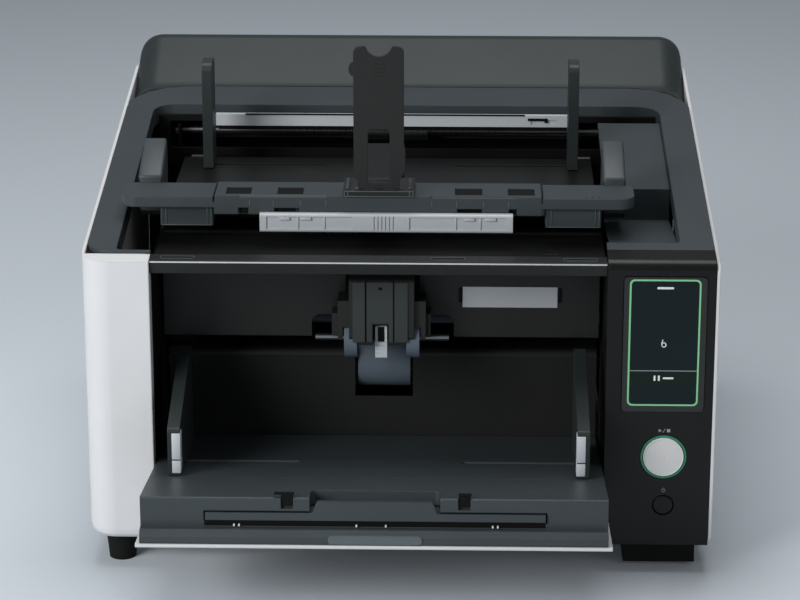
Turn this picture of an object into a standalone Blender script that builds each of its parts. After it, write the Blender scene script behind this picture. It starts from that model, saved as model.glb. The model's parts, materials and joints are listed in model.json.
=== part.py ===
"""Sheet fed document scanner: elevating hopper in front, stacker on top, control panel at the right.

Metres, +Z up. The object stands on its feet at Z = 0, its front faces -Y and its origin is under the
middle of its overall box. Inside this file every place is given as (x, depth, height): depth counts
backwards from the front face of the covers, and the machine empty puts that face where it belongs.
"""

import math

import bmesh
import bpy
from mathutils import Matrix, Vector

# ---- driving dimensions ------------------------------------------------------------------------
BODY_WIDTH = 0.460          # over the two side covers
BODY_DEPTH = 0.430          # front face to rear face
TRAY_REACH = 0.118          # how far the open hopper stands out of the front face
COVER_BOTTOM = 0.0225       # underside of the covers above the ground
ROOF_START = 0.2385         # height of the side covers' top edge at the front
ROOF_RISE = 0.1246          # rise of that edge for each metre backwards
CROWN_HEIGHT = 0.3145        # top of the rear cover
CROWN_DEPTH = 0.404
WALL = 0.0025               # moulded cover wall
SHEET = 0.0016              # sheet steel
GAP = 0.0003                # between pieces that touch
RUNNING_GAP = 0.0010        # between pieces that move past each other
SIDE_RADIUS = 0.020         # front corner of the left cover, seen from above

DOCUMENT_WIDTH = 0.2794
FEED_X = -0.014             # centre of the paper path

OPENING_LEFT = -0.180       # hopper bay, between the left cover and the control panel
OPENING_RIGHT = 0.1495
PANEL_DEPTH = 0.0235
PANEL_RADIUS = 0.007

TRAY_TILT = math.radians(9.2)
TRAY_TOP_AT_FRONT = 0.0840  # height of the tray's surface at depth 0
FLAP_HINGE_DEPTH = -0.045
FLAP_FRONT_DEPTH = -0.107
TABLE_END_DEPTH = 0.104
GUIDE_THICKNESS = 0.009

PICK_AXIS = (0.058, 0.1630)  # depth and height
PICK_RADIUS = 0.0150
PICK_SPACING = 0.0460
PICK_ROLLER_WIDTH = 0.0095
FEED_AXIS = (0.125, 0.1556)
FEED_RADIUS = 0.018
SHAFT_RADIUS = 0.004
SHAFT_HOLE = 0.0044

STACKER_HINGE = (0.268, 0.240)
STACKER_FRONT = 0.066
STACKER_TOP = 0.2680
STACKER_LIP = 0.008
SECTION_LEFT = -0.1380      # middle section of the stacker's front beam
SECTION_RIGHT = 0.1035
WING_LEFT_END = -0.2070
WING_RIGHT_END = 0.1715
FLOOR_TOP = 0.2440
STOPPER_WIDTH = 0.0370
STOPPER_HEIGHT = 0.1066
STACK_GUIDE_HEIGHT = 0.0845

SCREEN_LOW = (0.1612, 0.1275)
SCREEN_HIGH = (0.2207, 0.2300)
SCAN_BUTTON = (0.1928, 0.0922)
SCAN_RADIUS = 0.0149
SCAN_RING = 0.0168
POWER_BUTTON = (0.1935, 0.0541)
POWER_RADIUS = 0.0076

HALF = BODY_WIDTH / 2
FRONT_Y = (TRAY_REACH - BODY_DEPTH) / 2
RING_LIFT = 0.0015          # top frame above the side covers' edge
RING_WALL = 0.0030
INNER_HALF = HALF - WALL - GAP

COLOURS = {                 # linear red, green, blue, then roughness and metallic
    "light_grey": (0.62, 0.62, 0.64, 0.45, 0.0),
    "slate": (0.055, 0.066, 0.073, 0.45, 0.0),
    "dark": (0.018, 0.019, 0.019, 0.50, 0.0),
    "black": (0.008, 0.008, 0.008, 0.45, 0.0),
    "gloss_black": (0.012, 0.013, 0.013, 0.12, 0.0),
    "handle_grey": (0.44, 0.47, 0.50, 0.45, 0.0),
    "roller": (0.14, 0.17, 0.21, 0.70, 0.0),
    "rubber": (0.012, 0.012, 0.012, 0.80, 0.0),
    "steel": (0.55, 0.56, 0.57, 0.25, 1.0),
    "zinc": (0.50, 0.50, 0.49, 0.40, 1.0),
    "silver": (0.60, 0.62, 0.64, 0.35, 0.6),
    "green": (0.02, 0.26, 0.14, 0.35, 0.0),
    "board": (0.02, 0.10, 0.05, 0.50, 0.0),
    "cavity": (0.010, 0.010, 0.010, 0.60, 0.0),
}

for old in list(bpy.data.objects):
    bpy.data.objects.remove(old, do_unlink=True)

parts = bpy.data.collections.new("document_scanner")
cutters = bpy.data.collections.new("cutters")
bpy.context.scene.collection.children.link(parts)
bpy.context.scene.collection.children.link(cutters)


# ---- helpers -----------------------------------------------------------------------------------
def make_material(name):
    red, green, blue, roughness, metallic = COLOURS[name]
    made = bpy.data.materials.new(name)
    made.use_nodes = True
    shader = made.node_tree.nodes["Principled BSDF"]
    shader.inputs["Base Color"].default_value = (red, green, blue, 1.0)
    shader.inputs["Roughness"].default_value = roughness
    shader.inputs["Metallic"].default_value = metallic
    return made


materials = {name: make_material(name) for name in COLOURS}


def pivot(name, place, parent=None):
    """An empty on a joint's axis. The pieces that move with the joint are its children."""
    empty = bpy.data.objects.new(name, None)
    empty.empty_display_size = 0.02
    parts.objects.link(empty)
    empty["place"] = place
    if parent is not None:
        empty.parent = parent
        empty.location = Vector(place) - Vector(parent["place"])
    else:
        empty.location = (place[0], place[1] + FRONT_Y, place[2])
    return empty


machine = pivot("machine", (0.0, 0.0, 0.0))


def piece(name, bm, colour, parent=None, smooth=30):
    """Makes the bmesh, given in machine places, an object whose origin is the middle of its box."""
    parent = parent or machine
    corners = [vert.co for vert in bm.verts]
    low = Vector([min(co[axis] for co in corners) for axis in range(3)])
    high = Vector([max(co[axis] for co in corners) for axis in range(3)])
    middle = (low + high) / 2
    bmesh.ops.translate(bm, verts=bm.verts, vec=-middle)
    bmesh.ops.recalc_face_normals(bm, faces=bm.faces)
    mesh = bpy.data.meshes.new(name)
    bm.to_mesh(mesh)
    bm.free()
    mesh.shade_smooth()
    mesh.set_sharp_from_angle(angle=math.radians(smooth))
    made = bpy.data.objects.new(name, mesh)
    parts.objects.link(made)
    made.parent = parent
    made.location = middle - Vector(parent["place"])
    if colour:
        mesh.materials.append(materials[colour])
    return made


def helper(name, bm, target):
    """A cutter, or a body to be joined: it follows the target's parent and is left out of a render."""
    made = piece(name, bm, None, target.parent)
    parts.objects.unlink(made)
    cutters.objects.link(made)
    made.hide_render = True
    made.display_type = "WIRE"
    return made


def combine(target, bm, operation):
    number = len(target.modifiers)
    modifier = target.modifiers.new(f"{operation.lower()}_{number}", "BOOLEAN")
    modifier.operation = operation
    modifier.solver = "EXACT"
    modifier.object = helper(f"{target.name}_{operation.lower()}_{number}", bm, target)


def cut(target, bm):
    combine(target, bm, "DIFFERENCE")


def join(target, bm):
    combine(target, bm, "UNION")


def box(*corners):
    """One or more boxes, each given as (low corner, high corner), in one bmesh."""
    bm = bmesh.new()
    for low, high in corners:
        low, high = Vector(low), Vector(high)
        place = Matrix.Translation((low + high) / 2) @ Matrix.Diagonal((*(high - low), 1.0))
        bmesh.ops.create_cube(bm, size=1.0, matrix=place)
    return bm


def span(x, depth, height):
    """A box's two corners from its three (low, high) pairs."""
    return (x[0], depth[0], height[0]), (x[1], depth[1], height[1])


AXIS_TURN = {
    "x": Matrix.Rotation(math.radians(90), 4, "Y"),
    "y": Matrix.Rotation(math.radians(-90), 4, "X"),
    "z": Matrix.Identity(4),
}


def rod(axis, middle, radius, length, sides=24, top=None, bm=None):
    """A cylinder, or a cone frustum where top gives the far end's radius."""
    bm = bm or bmesh.new()
    place = Matrix.Translation(middle) @ AXIS_TURN[axis]
    bmesh.ops.create_cone(bm, cap_ends=True, segments=sides, radius1=radius,
                          radius2=radius if top is None else top, depth=length, matrix=place)
    return bm


def rods(axis, rows, sides=24):
    """Several separate cylinders in one bmesh, each (middle, radius, length)."""
    bm = bmesh.new()
    for middle, radius, length in rows:
        rod(axis, middle, radius, length, sides, bm=bm)
    return bm


def rounded(points, steps=4):
    """The outline with each corner (a, b, radius) replaced by an arc; (a, b) stays sharp."""
    path = []
    for index, point in enumerate(points):
        corner = Vector(point[:2])
        radius = point[2] if len(point) > 2 else 0.0
        if not radius:
            path.append(corner)
            continue
        before = (Vector(points[index - 1][:2]) - corner).normalized()
        after = (Vector(points[(index + 1) % len(points)][:2]) - corner).normalized()
        half = before.angle(after) / 2
        centre = corner + (before + after).normalized() * radius / math.sin(half)
        start = corner + before * radius / math.tan(half) - centre
        end = corner + after * radius / math.tan(half) - centre
        turn = math.copysign(math.pi - 2 * half, start.x * end.y - start.y * end.x)
        for step in range(steps + 1):
            angle = turn * step / steps
            path.append(centre + Matrix.Rotation(angle, 2) @ start)
    return path


def slab(outline, low, high, hole=None, steps=4):
    """A filled 2D curve, extruded to both sides, as a bmesh between two heights."""
    curve = bpy.data.curves.new("outline", "CURVE")
    curve.dimensions = "2D"
    curve.fill_mode = "BOTH"
    curve.extrude = (high - low) / 2
    for points in (outline, hole):
        if points is None:
            continue
        path = rounded(points, steps)
        spline = curve.splines.new("POLY")
        spline.points.add(len(path) - 1)
        for index, point in enumerate(path):
            spline.points[index].co = (point.x, point.y, 0.0, 1.0)
        spline.use_cyclic_u = True
    guide = bpy.data.objects.new("outline", curve)
    bpy.context.scene.collection.objects.link(guide)
    mesh = bpy.data.meshes.new_from_object(guide.evaluated_get(bpy.context.evaluated_depsgraph_get()))
    bm = bmesh.new()
    bm.from_mesh(mesh)
    bmesh.ops.remove_doubles(bm, verts=bm.verts, dist=1e-6)
    bmesh.ops.translate(bm, verts=bm.verts, vec=(0.0, 0.0, (low + high) / 2))
    bpy.data.objects.remove(guide, do_unlink=True)
    bpy.data.meshes.remove(mesh)
    return bm


PROFILE_TURN = Matrix(((0, 0, 1, 0), (1, 0, 0, 0), (0, 1, 0, 0), (0, 0, 0, 1)))
FACE_TURN = Matrix(((1, 0, 0, 0), (0, 0, -1, 0), (0, 1, 0, 0), (0, 0, 0, 1)))


def profile(outline, left, right, steps=4, hole=None):
    """An outline in (depth, height), extruded from left to right."""
    bm = slab(outline, left, right, hole, steps)
    bmesh.ops.transform(bm, verts=bm.verts, matrix=PROFILE_TURN)
    return bm


def face_plate(outline, front, back, hole=None, steps=4):
    """An outline in (x, height), seen from the front, extruded between two depths."""
    bm = slab(outline, -back, -front, hole, steps)
    bmesh.ops.transform(bm, verts=bm.verts, matrix=FACE_TURN)
    return bm


def roof(depth, lift=0.0):
    return ROOF_START + lift + depth * ROOF_RISE


def lean(bm, rise=ROOF_RISE):
    """Shears a level shape so that its faces rise backwards; its walls stay upright."""
    shear = Matrix.Identity(4)
    shear[2][1] = rise
    bmesh.ops.transform(bm, verts=bm.verts, matrix=shear)
    return bm


def tilt(bm, place, angle):
    """Turns the shape about an axis along X through place, front upwards for a positive angle."""
    turn = (Matrix.Translation(place) @ Matrix.Rotation(-angle, 4, "X")
            @ Matrix.Translation(-Vector(place)))
    bmesh.ops.transform(bm, verts=bm.verts, matrix=turn)
    return bm


def soften(bm, wanted, radius, segments=3):
    """Rounds the edges for which wanted(first corner, second corner) is true."""
    edges = [edge for edge in bm.edges if wanted(edge.verts[0].co, edge.verts[1].co)]
    bmesh.ops.bevel(bm, geom=edges, offset=radius, offset_type="OFFSET", segments=segments,
                    profile=0.5, affect="EDGES", material=-1)
    return bm


def rect(low_a, low_b, high_a, high_b, radius=0.0):
    corners = ((low_a, low_b), (high_a, low_b), (high_a, high_b), (low_a, high_b))
    return [(a, b, radius) if radius else (a, b) for a, b in corners]


# ---- covers ------------------------------------------------------------------------------------
def cover_side(front_radius, rear_radius=0.035):
    return [(0.0, COVER_BOTTOM), (0.0, roof(0.0), front_radius), (BODY_DEPTH, roof(BODY_DEPTH), rear_radius),
            (BODY_DEPTH, COVER_BOTTOM)]


def lower_edge(height, inner_end):
    """Edges of the flat underside, but for the one at the cover's inner end."""
    return lambda a, b: (abs(a.z - height) < 1e-5 and abs(b.z - height) < 1e-5
                         and abs((a.x + b.x) / 2 - inner_end) > 0.004)


FRAME_DEPTH = 0.0145        # where the top frame begins
FRAME_RIGHT_DEPTH = 0.0235
RETURN_DEPTH = 0.0140       # how far the left cover turns into the hopper bay
BEYOND = 0.010              # cutters run past a face by this
FOOT_FILLET = 0.008


def corner_stack(inset, lift, right):
    """The left cover's outside, or with an inset the space inside it: plan views stacked on a filleted foot."""
    rear = BODY_DEPTH + BEYOND
    fillet = FOOT_FILLET - inset
    sections = []
    for turn in (0, 30, 60, 90):
        across = inset + fillet * (1 - math.sin(math.radians(turn)))
        height = COVER_BOTTOM + inset + fillet * (1 - math.cos(math.radians(turn)))
        plan = [(-HALF + across, across, SIDE_RADIUS - across), (right, across), (right, rear),
                (-HALF + across, rear)]
        sections.append([(x, depth, height) for x, depth in rounded(plan, 9)])
    sections.append([(x, depth, roof(depth, lift)) for x, depth, _ in sections[-1]])
    return loft(sections)


def left_side_cover():
    cover = piece("left_side_cover", corner_stack(0.0, BEYOND, OPENING_LEFT), "light_grey")
    side = [(-BEYOND, 0.0), (-BEYOND, roof(-BEYOND)), (BODY_DEPTH, roof(BODY_DEPTH), 0.035), (BODY_DEPTH, 0.0)]
    combine(cover, profile(side, -HALF - BEYOND, OPENING_LEFT + BEYOND), "INTERSECT")
    cut(cover, corner_stack(WALL, -WALL, OPENING_LEFT - WALL))
    rear = BODY_DEPTH + BEYOND
    top = [(FRAME_DEPTH, roof(FRAME_DEPTH) - WALL - 0.008), (rear, roof(rear) - WALL - 0.008), (rear, 0.4),
           (FRAME_DEPTH, 0.4)]
    cut(cover, profile(top, -HALF + WALL, OPENING_LEFT + BEYOND))
    cut(cover, box(span((OPENING_LEFT - WALL - 0.001, OPENING_LEFT + BEYOND), (RETURN_DEPTH, rear),
                        (COVER_BOTTOM + WALL, 0.4))))
    return cover


POD_LEFT = OPENING_RIGHT + 0.0075


def right_side_cover():
    outer = profile(cover_side(0.008), POD_LEFT, HALF)
    soften(outer, lambda a, b: lower_edge(COVER_BOTTOM, POD_LEFT)(a, b) and min(a.x, b.x) > HALF - 0.004,
           FOOT_FILLET, 4)
    cover = piece("right_side_cover", outer, "light_grey")
    rear = BODY_DEPTH + BEYOND
    inner = [(-BEYOND, COVER_BOTTOM + WALL), (-BEYOND, 0.4), (rear, 0.4), (rear, COVER_BOTTOM + WALL)]
    hollow = profile(inner, POD_LEFT - BEYOND, HALF - WALL)
    soften(hollow, lambda a, b: lower_edge(COVER_BOTTOM + WALL, POD_LEFT)(a, b) and min(a.x, b.x) > HALF - 0.004,
           FOOT_FILLET - WALL, 3)
    cut(cover, hollow)
    cut(cover, box(span((POD_LEFT - BEYOND, HALF - WALL), (-BEYOND, PANEL_DEPTH + GAP),
                        (0.0, COVER_BOTTOM + FOOT_FILLET))))
    return cover


def vent_slots(left, right, low, high, depth, pitch=0.008, width=0.003):
    """Level slots, as one cutter, through a wall at the given depths."""
    count = int((high - low) / pitch) + 1
    return box(*[span((left, right), depth, (low + row * pitch, low + row * pitch + width))
                 for row in range(count)])


INLET = ((0.170, 0.198), (0.0480, 0.0720))
DATA_PORT = ((0.128, 0.1405), (0.0520, 0.0640))
REAR_SEAM = 0.2560
FAN_PLACE = (-0.110, 0.150)


def rear_cover():
    thick = (BODY_DEPTH - WALL, BODY_DEPTH)
    through = (BODY_DEPTH - WALL - BEYOND, BODY_DEPTH + BEYOND)
    outline = rect(-INNER_HALF, COVER_BOTTOM + WALL + GAP, INNER_HALF, REAR_SEAM, FOOT_FILLET)
    cover = piece("rear_cover", face_plate(outline, *thick), "dark")
    x, z = FAN_PLACE
    cut(cover, vent_slots(x - 0.036, x + 0.036, z - 0.034, z + 0.036, through))
    cut(cover, vent_slots(0.020, 0.120, 0.120, 0.176, through))
    holes = [span((low - GAP, high + GAP), through, (bottom - GAP, top + GAP))
             for (low, high), (bottom, top) in (INLET, DATA_PORT)]
    cut(cover, box(*holes))
    return cover


FRAME_REAR = 0.341
FRAME_INNER_LEFT = -0.2050
FRAME_INNER_RIGHT = 0.2030
FRAME_INNER_REAR = 0.301
FRAME_CORNER = 0.046
FLANGE = 0.014


def frame_skirt(thick, front):
    """Seen from above, the flange that hangs from the top frame's inner edge at three sides."""
    left, right, rear = FRAME_INNER_LEFT, FRAME_INNER_RIGHT, FRAME_INNER_REAR
    return [(left - thick, front), (left - thick, rear + thick, 0.016 + thick),
            (right + thick, rear + thick, 0.018 + thick), (right + thick, front), (right, front),
            (right, rear, 0.018), (left, rear, 0.016), (left, front)]


def top_frame():
    top = roof(0.0, RING_LIFT)
    left, right = -INNER_HALF, INNER_HALF
    panel_left = OPENING_RIGHT + GAP
    outline = [(OPENING_LEFT, FRAME_DEPTH + GAP), (left, FRAME_DEPTH + GAP, 0.018),
               (left, FRAME_REAR, FRAME_CORNER), (right, FRAME_REAR, FRAME_CORNER),
               (right, FRAME_RIGHT_DEPTH + GAP, 0.002), (panel_left, FRAME_RIGHT_DEPTH + GAP),
               (panel_left, 0.036), (FRAME_INNER_RIGHT, 0.036, 0.004),
               (FRAME_INNER_RIGHT, FRAME_INNER_REAR, 0.018), (FRAME_INNER_LEFT, FRAME_INNER_REAR, 0.016),
               (FRAME_INNER_LEFT, 0.0180, 0.004), (OPENING_LEFT, 0.0180)]
    frame = piece("top_frame", lean(slab(outline, top - RING_WALL, top)), "slate")
    join(frame, lean(slab(frame_skirt(0.002, 0.040), top - FLANGE, top - RING_WALL / 2)))
    return frame


CAP_START = FRAME_REAR - FRAME_CORNER - 0.006
CAP_LOWEST = REAR_SEAM + GAP


def loft(sections):
    """Joins closed outlines, each the same number of corners, into one solid with flat ends."""
    bm = bmesh.new()
    loops = [[bm.verts.new(corner) for corner in section] for section in sections]
    for loop, following in zip(loops, loops[1:]):
        for index, vert in enumerate(loop):
            previous = index - 1
            bm.faces.new((loop[previous], vert, following[index], following[previous]))
    bm.faces.new(loops[0])
    bm.faces.new(loops[-1])
    return bm


def shoulder(depth):
    """Radius of the rear cover's long edges: it grows out of the top frame and fades at the rear."""
    if depth < FRAME_REAR:
        return max(0.001, 0.020 * (depth - CAP_START) / (FRAME_REAR - CAP_START))
    return 0.020 - 0.014 * max(0.0, depth - CROWN_DEPTH) / (BODY_DEPTH - CROWN_DEPTH)


def cap_shape(inset, lowest, front):
    """The rear cover's outside, or with an inset the space inside it."""
    lift = RING_LIFT - inset
    ridge = [(front, roof(front, lift)), (FRAME_REAR, roof(FRAME_REAR, lift), 0.03),
             (CROWN_DEPTH - 0.3 * inset, CROWN_HEIGHT - inset * 1.05, 0.014),
             (BODY_DEPTH - inset, 0.290 - inset * 0.6, 0.012), (BODY_DEPTH - inset, lowest)]
    sections = []
    for depth, height in rounded(ridge, 7)[:-1]:
        radius = max(shoulder(depth) - inset, 0.0005)
        half = INNER_HALF - inset
        turns = [math.radians(10 * step) for step in range(10)]
        left = [(radius - half - radius * math.cos(angle), depth, height - radius + radius * math.sin(angle))
                for angle in turns]
        right = [(-x, y, z) for x, y, z in reversed(left)]
        sections.append([(-half, depth, lowest), *left, *right, (half, depth, lowest)])
    return loft(sections)


def top_rear_cover():
    cover = piece("top_rear_cover", cap_shape(0.0, CAP_LOWEST, CAP_START), "slate")
    cut(cover, cap_shape(WALL, CAP_LOWEST - BEYOND, CAP_START - BEYOND))
    reach = INNER_HALF + BEYOND
    corner = FRAME_CORNER + BEYOND
    frame_space = [(-reach, 0.20), (reach, 0.20), (reach, FRAME_REAR + GAP, corner),
                   (-reach, FRAME_REAR + GAP, corner)]
    cut(cover, slab(frame_space, 0.15, 0.40, steps=6))
    return cover


# ---- control panel -----------------------------------------------------------------------------
PANEL_RIGHT = HALF - WALL - GAP
PANEL_FACE = 0.0028


def hole_y(centre, radius, sides=32):
    return rod("y", (centre[0], 0.0, centre[1]), radius, 0.060, sides)


def control_panel_cover():
    top = roof(0.0, RING_LIFT) + 0.0005
    outline = [(0.0, COVER_BOTTOM), (0.0, top, PANEL_RADIUS), (PANEL_DEPTH, roof(PANEL_DEPTH, RING_LIFT)),
               (PANEL_DEPTH, COVER_BOTTOM)]
    cover = piece("control_panel_cover", profile(outline, OPENING_RIGHT, PANEL_RIGHT), "black")
    inner = [(PANEL_FACE, COVER_BOTTOM + WALL), (PANEL_FACE, top - WALL, 0.005),
             (PANEL_DEPTH + BEYOND, top), (PANEL_DEPTH + BEYOND, COVER_BOTTOM + WALL)]
    cut(cover, profile(inner, OPENING_RIGHT + WALL, PANEL_RIGHT - WALL))
    window = rect(SCREEN_LOW[0] - GAP, SCREEN_LOW[1] - GAP, SCREEN_HIGH[0] + GAP, SCREEN_HIGH[1] + GAP,
                  0.003)
    cut(cover, face_plate(window, -BEYOND, 0.012))
    cut(cover, hole_y(SCAN_BUTTON, SCAN_RING + GAP))
    cut(cover, hole_y(POWER_BUTTON, POWER_RADIUS + 0.0004))
    return cover


def display():
    glass = rect(*SCREEN_LOW, *SCREEN_HIGH, 0.003)
    return piece("display_unit", face_plate(glass, -0.0008, 0.0075), "gloss_black")


SCAN_STROKE = 0.0015
POWER_STROKE = 0.0010
BOARD_DEPTH = 0.0120


def disc_button(name, centre, radius, front, back, parent, colour, dome=0.0):
    """A turned button: a slightly domed cap on a stem, its axis along the depth."""
    stem = radius * 0.45
    outline = [(0.0, front - dome), (radius * 0.6, front - dome * 0.7), (radius - 0.0008, front),
               (radius, front + 0.0008), (radius, front + 0.0045), (stem, front + 0.0045), (stem, back),
               (0.0, back)]
    bm = bmesh.new()
    verts = [bm.verts.new((out, deep, 0.0)) for out, deep in outline]
    edges = [bm.edges.new(pair) for pair in zip(verts, verts[1:])]
    bmesh.ops.spin(bm, geom=verts + edges, cent=(0, 0, 0), axis=(0, 1, 0), angle=math.tau, steps=32,
                   use_merge=True)
    bmesh.ops.remove_doubles(bm, verts=bm.verts, dist=1e-6)
    bmesh.ops.translate(bm, verts=bm.verts, vec=(centre[0], 0.0, centre[1]))
    return piece(name, bm, colour, parent)


def buttons():
    scan = pivot("scan_button_axis", (SCAN_BUTTON[0], 0.0, SCAN_BUTTON[1]), machine)
    power = pivot("power_button_axis", (POWER_BUTTON[0], 0.0, POWER_BUTTON[1]), machine)
    ring = piece("scan_button_ring", rod("y", (SCAN_BUTTON[0], 0.0026, SCAN_BUTTON[1]), SCAN_RING, 0.0060,
                                         36), "green")
    cut(ring, hole_y(SCAN_BUTTON, SCAN_RADIUS + 0.0004, 36))
    disc_button("scan_button", SCAN_BUTTON, SCAN_RADIUS, -0.0006, BOARD_DEPTH - GAP - SCAN_STROKE, scan,
                "silver", 0.0008)
    disc_button("power_button", POWER_BUTTON, POWER_RADIUS, 0.0, BOARD_DEPTH - GAP - POWER_STROKE, power,
                "black", 0.0002)
    piece("button_board", box(span((0.160, 0.222), (BOARD_DEPTH, BOARD_DEPTH + SHEET), (0.040, 0.112))),
          "board")


# ---- frame and inner parts ---------------------------------------------------------------------
SIDE_FRAME_LEFT = -0.1860
SIDE_FRAME_RIGHT = 0.1580
BASE_TOP = COVER_BOTTOM + WALL
TRANSPORT_AXIS = (0.165, 0.1219)
TRANSPORT_RADIUS = 0.015
TURN_CENTRE = (0.325, 0.1895)
TURN_RADIUS = 0.052
TURN_AXIS = (0.362, 0.1895)
EXIT_AXIS = (0.312, 0.2535)
EXIT_ROLLER = 0.008
BRAKE_AXIS = (0.127, 0.1189)


def base_pan():
    """Floor of the machine: a shallow pan on which the side frames stand."""
    left, right = OPENING_LEFT - 0.0090, POD_LEFT - GAP
    front, rear = PANEL_DEPTH + GAP, BODY_DEPTH - WALL - GAP
    bottom = COVER_BOTTOM
    pan = piece("base_pan", box(span((left, right), (front, rear), (bottom, bottom + 0.014))), "zinc")
    cut(pan, box(span((left + SHEET, right - SHEET), (front + SHEET, rear - SHEET),
                      (bottom + SHEET, bottom + 0.030))))
    cut(pan, box(span((left - BEYOND, OPENING_LEFT), (0.0, BODY_DEPTH), (bottom - BEYOND, BASE_TOP + GAP))))
    return pan


FRAME_TOP = 0.2200          # side frames below the stacker
EXIT_WALL_DEPTH = 0.2900


def side_frame(name, left):
    """Sheet steel side plate, which carries the roller shafts."""
    low = COVER_BOTTOM + 0.0145
    step = EXIT_WALL_DEPTH + WALL + RUNNING_GAP
    outline = [(0.030, low), (0.030, FRAME_TOP), (step, FRAME_TOP), (step, 0.2620), (0.395, 0.2620),
               (0.395, low)]
    frame = piece(name, profile(outline, left, left + SHEET), "zinc")
    middle = left + SHEET / 2
    shafts = (FEED_AXIS, BRAKE_AXIS, TRANSPORT_AXIS, TURN_AXIS, EXIT_AXIS)
    cut(frame, rods("x", [((middle, *axis), SHAFT_HOLE, 0.02) for axis in shafts]))
    return frame


LIP_TOP = 0.2392
LIP_REAR = 0.0175


def lip_bar():
    """Front edge of the upper cover, over the hopper bay, with its drip edge."""
    outline = [(0.0015, 0.2380), (0.0025, LIP_TOP), (LIP_REAR, LIP_TOP), (LIP_REAR, 0.2350), (0.0070, 0.2340),
               (0.0055, 0.2290), (0.0040, 0.2290)]
    bar = piece("lip_bar", profile(outline, OPENING_LEFT + GAP, OPENING_RIGHT - GAP), "slate")
    slots = [span((x - 0.012, x + 0.012), (0.0075, 0.0125), (0.22, 0.25)) for x in (-0.160, 0.035, 0.130)]
    cut(bar, box(*slots))
    return bar


CAVITY_TOP = 0.2318
WALL_DEPTH = PICK_AXIS[0] + PICK_RADIUS + RUNNING_GAP


def bay_ceiling():
    """Level panel between the hopper bay below and the stacker above."""
    front = LIP_REAR + GAP
    outline = [(front, 0.2365), (front + 0.0047, CAVITY_TOP), (0.2870, CAVITY_TOP), (0.2870, 0.2290), (front, 0.2290)]
    ceiling = piece("bay_ceiling", profile(outline, OPENING_LEFT + GAP, OPENING_RIGHT - GAP), "cavity")
    depth, height = STACKER_HINGE
    lugs = [span((middle - 0.0020, middle + 0.0020), (depth - 0.0055, depth + 0.0055),
                 (CAVITY_TOP - 0.001, height + 0.0055)) for middle in HINGE_PLACES]
    join(ceiling, box(*lugs))
    cut(ceiling, rods("x", [((middle, depth, height), HINGE_PIN + 0.0004, 0.01) for middle in HINGE_PLACES]))
    return ceiling


LABEL = ((0.0455, 0.1160), (0.1815, 0.1975))
STUB_REACH = 0.0495         # pick shaft's end from the feed centre
WALL_LOW = 0.1580


def chute_wall():
    """Upright wall at the back of the hopper bay; the pick unit reaches forward through it."""
    outline = [(OPENING_LEFT + 0.0022, WALL_LOW), (OPENING_LEFT + 0.0022, 0.2286), (OPENING_RIGHT - 0.0022, 0.2286),
               (OPENING_RIGHT - 0.0022, WALL_LOW)]
    wall = piece("chute_wall", face_plate(outline, WALL_DEPTH, WALL_DEPTH + WALL), "dark")
    bay = [(FEED_X - 0.0275, WALL_LOW - BEYOND), (FEED_X - 0.0275, 0.2200, 0.003),
           (FEED_X + 0.0275, 0.2200, 0.003), (FEED_X + 0.0275, WALL_LOW - BEYOND)]
    cut(wall, face_plate(bay, WALL_DEPTH - BEYOND, WALL_DEPTH + BEYOND))
    for side in (-1, 1):
        x = FEED_X + side * 0.042
        arch = [(x - 0.011, WALL_LOW - BEYOND), (x - 0.011, 0.1750, 0.006), (x + 0.011, 0.1750, 0.006),
                (x + 0.011, WALL_LOW - BEYOND)]
        cut(wall, face_plate(arch, WALL_DEPTH - BEYOND, WALL_DEPTH + BEYOND))
    (left, right), (low, high) = LABEL
    cut(wall, box(span((left - GAP, right + GAP), (WALL_DEPTH - BEYOND, WALL_DEPTH + 0.0010),
                       (low - GAP, high + GAP))))
    piece("label_plate", box(span((left, right), (WALL_DEPTH - 0.0003, WALL_DEPTH + 0.0007), (low, high))),
          "handle_grey")
    return wall


def bay_liner(name, left, front, top):
    """Dark upright panel at one side of the hopper bay."""
    outline = [(front, 0.0400), (front, top), (WALL_DEPTH + 0.040, top), (WALL_DEPTH + 0.040, 0.0400)]
    return piece(name, profile(outline, left, left + 0.0020), "cavity")


def lower_front_cover():
    """Closes the front below the hopper's surface."""
    outline = [(0.0040, COVER_BOTTOM), (0.0040, 0.0500, 0.003), (0.0100, 0.0500, 0.003), (0.0100, 0.0300),
               (PANEL_DEPTH, 0.0300), (PANEL_DEPTH, COVER_BOTTOM)]
    return piece("lower_front_cover", profile(outline, OPENING_LEFT + GAP, OPENING_RIGHT - GAP), "dark")


def recess_tray():
    """Stepped floor of the recess at the right of the stacker."""
    thick = 0.0022
    top = [(0.0385, 0.2400), (0.1480, 0.2275), (0.1500, 0.2520), (0.2820, 0.2685)]
    under = [(0.2820, 0.2685 - thick), (0.1520, 0.2522 - thick), (0.1500, 0.2275 - thick),
             (0.0385, 0.2400 - thick)]
    return piece("recess_tray", profile(top + under, 0.1530, FRAME_INNER_RIGHT - GAP), "slate")


def exit_wall():
    """Rear wall of the stacker's space, with the slot that the sheets leave through."""
    outline = rect(FRAME_INNER_LEFT + 0.004, CAVITY_TOP + GAP, FRAME_INNER_RIGHT - 0.004, 0.2715)
    wall = piece("exit_wall", face_plate(outline, EXIT_WALL_DEPTH, EXIT_WALL_DEPTH + WALL), "dark")
    slot = rect(FEED_X - 0.178, 0.2440, FEED_X + 0.182, 0.2665, 0.002)
    cut(wall, face_plate(slot, EXIT_WALL_DEPTH - BEYOND, EXIT_WALL_DEPTH + BEYOND))
    return wall


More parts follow.
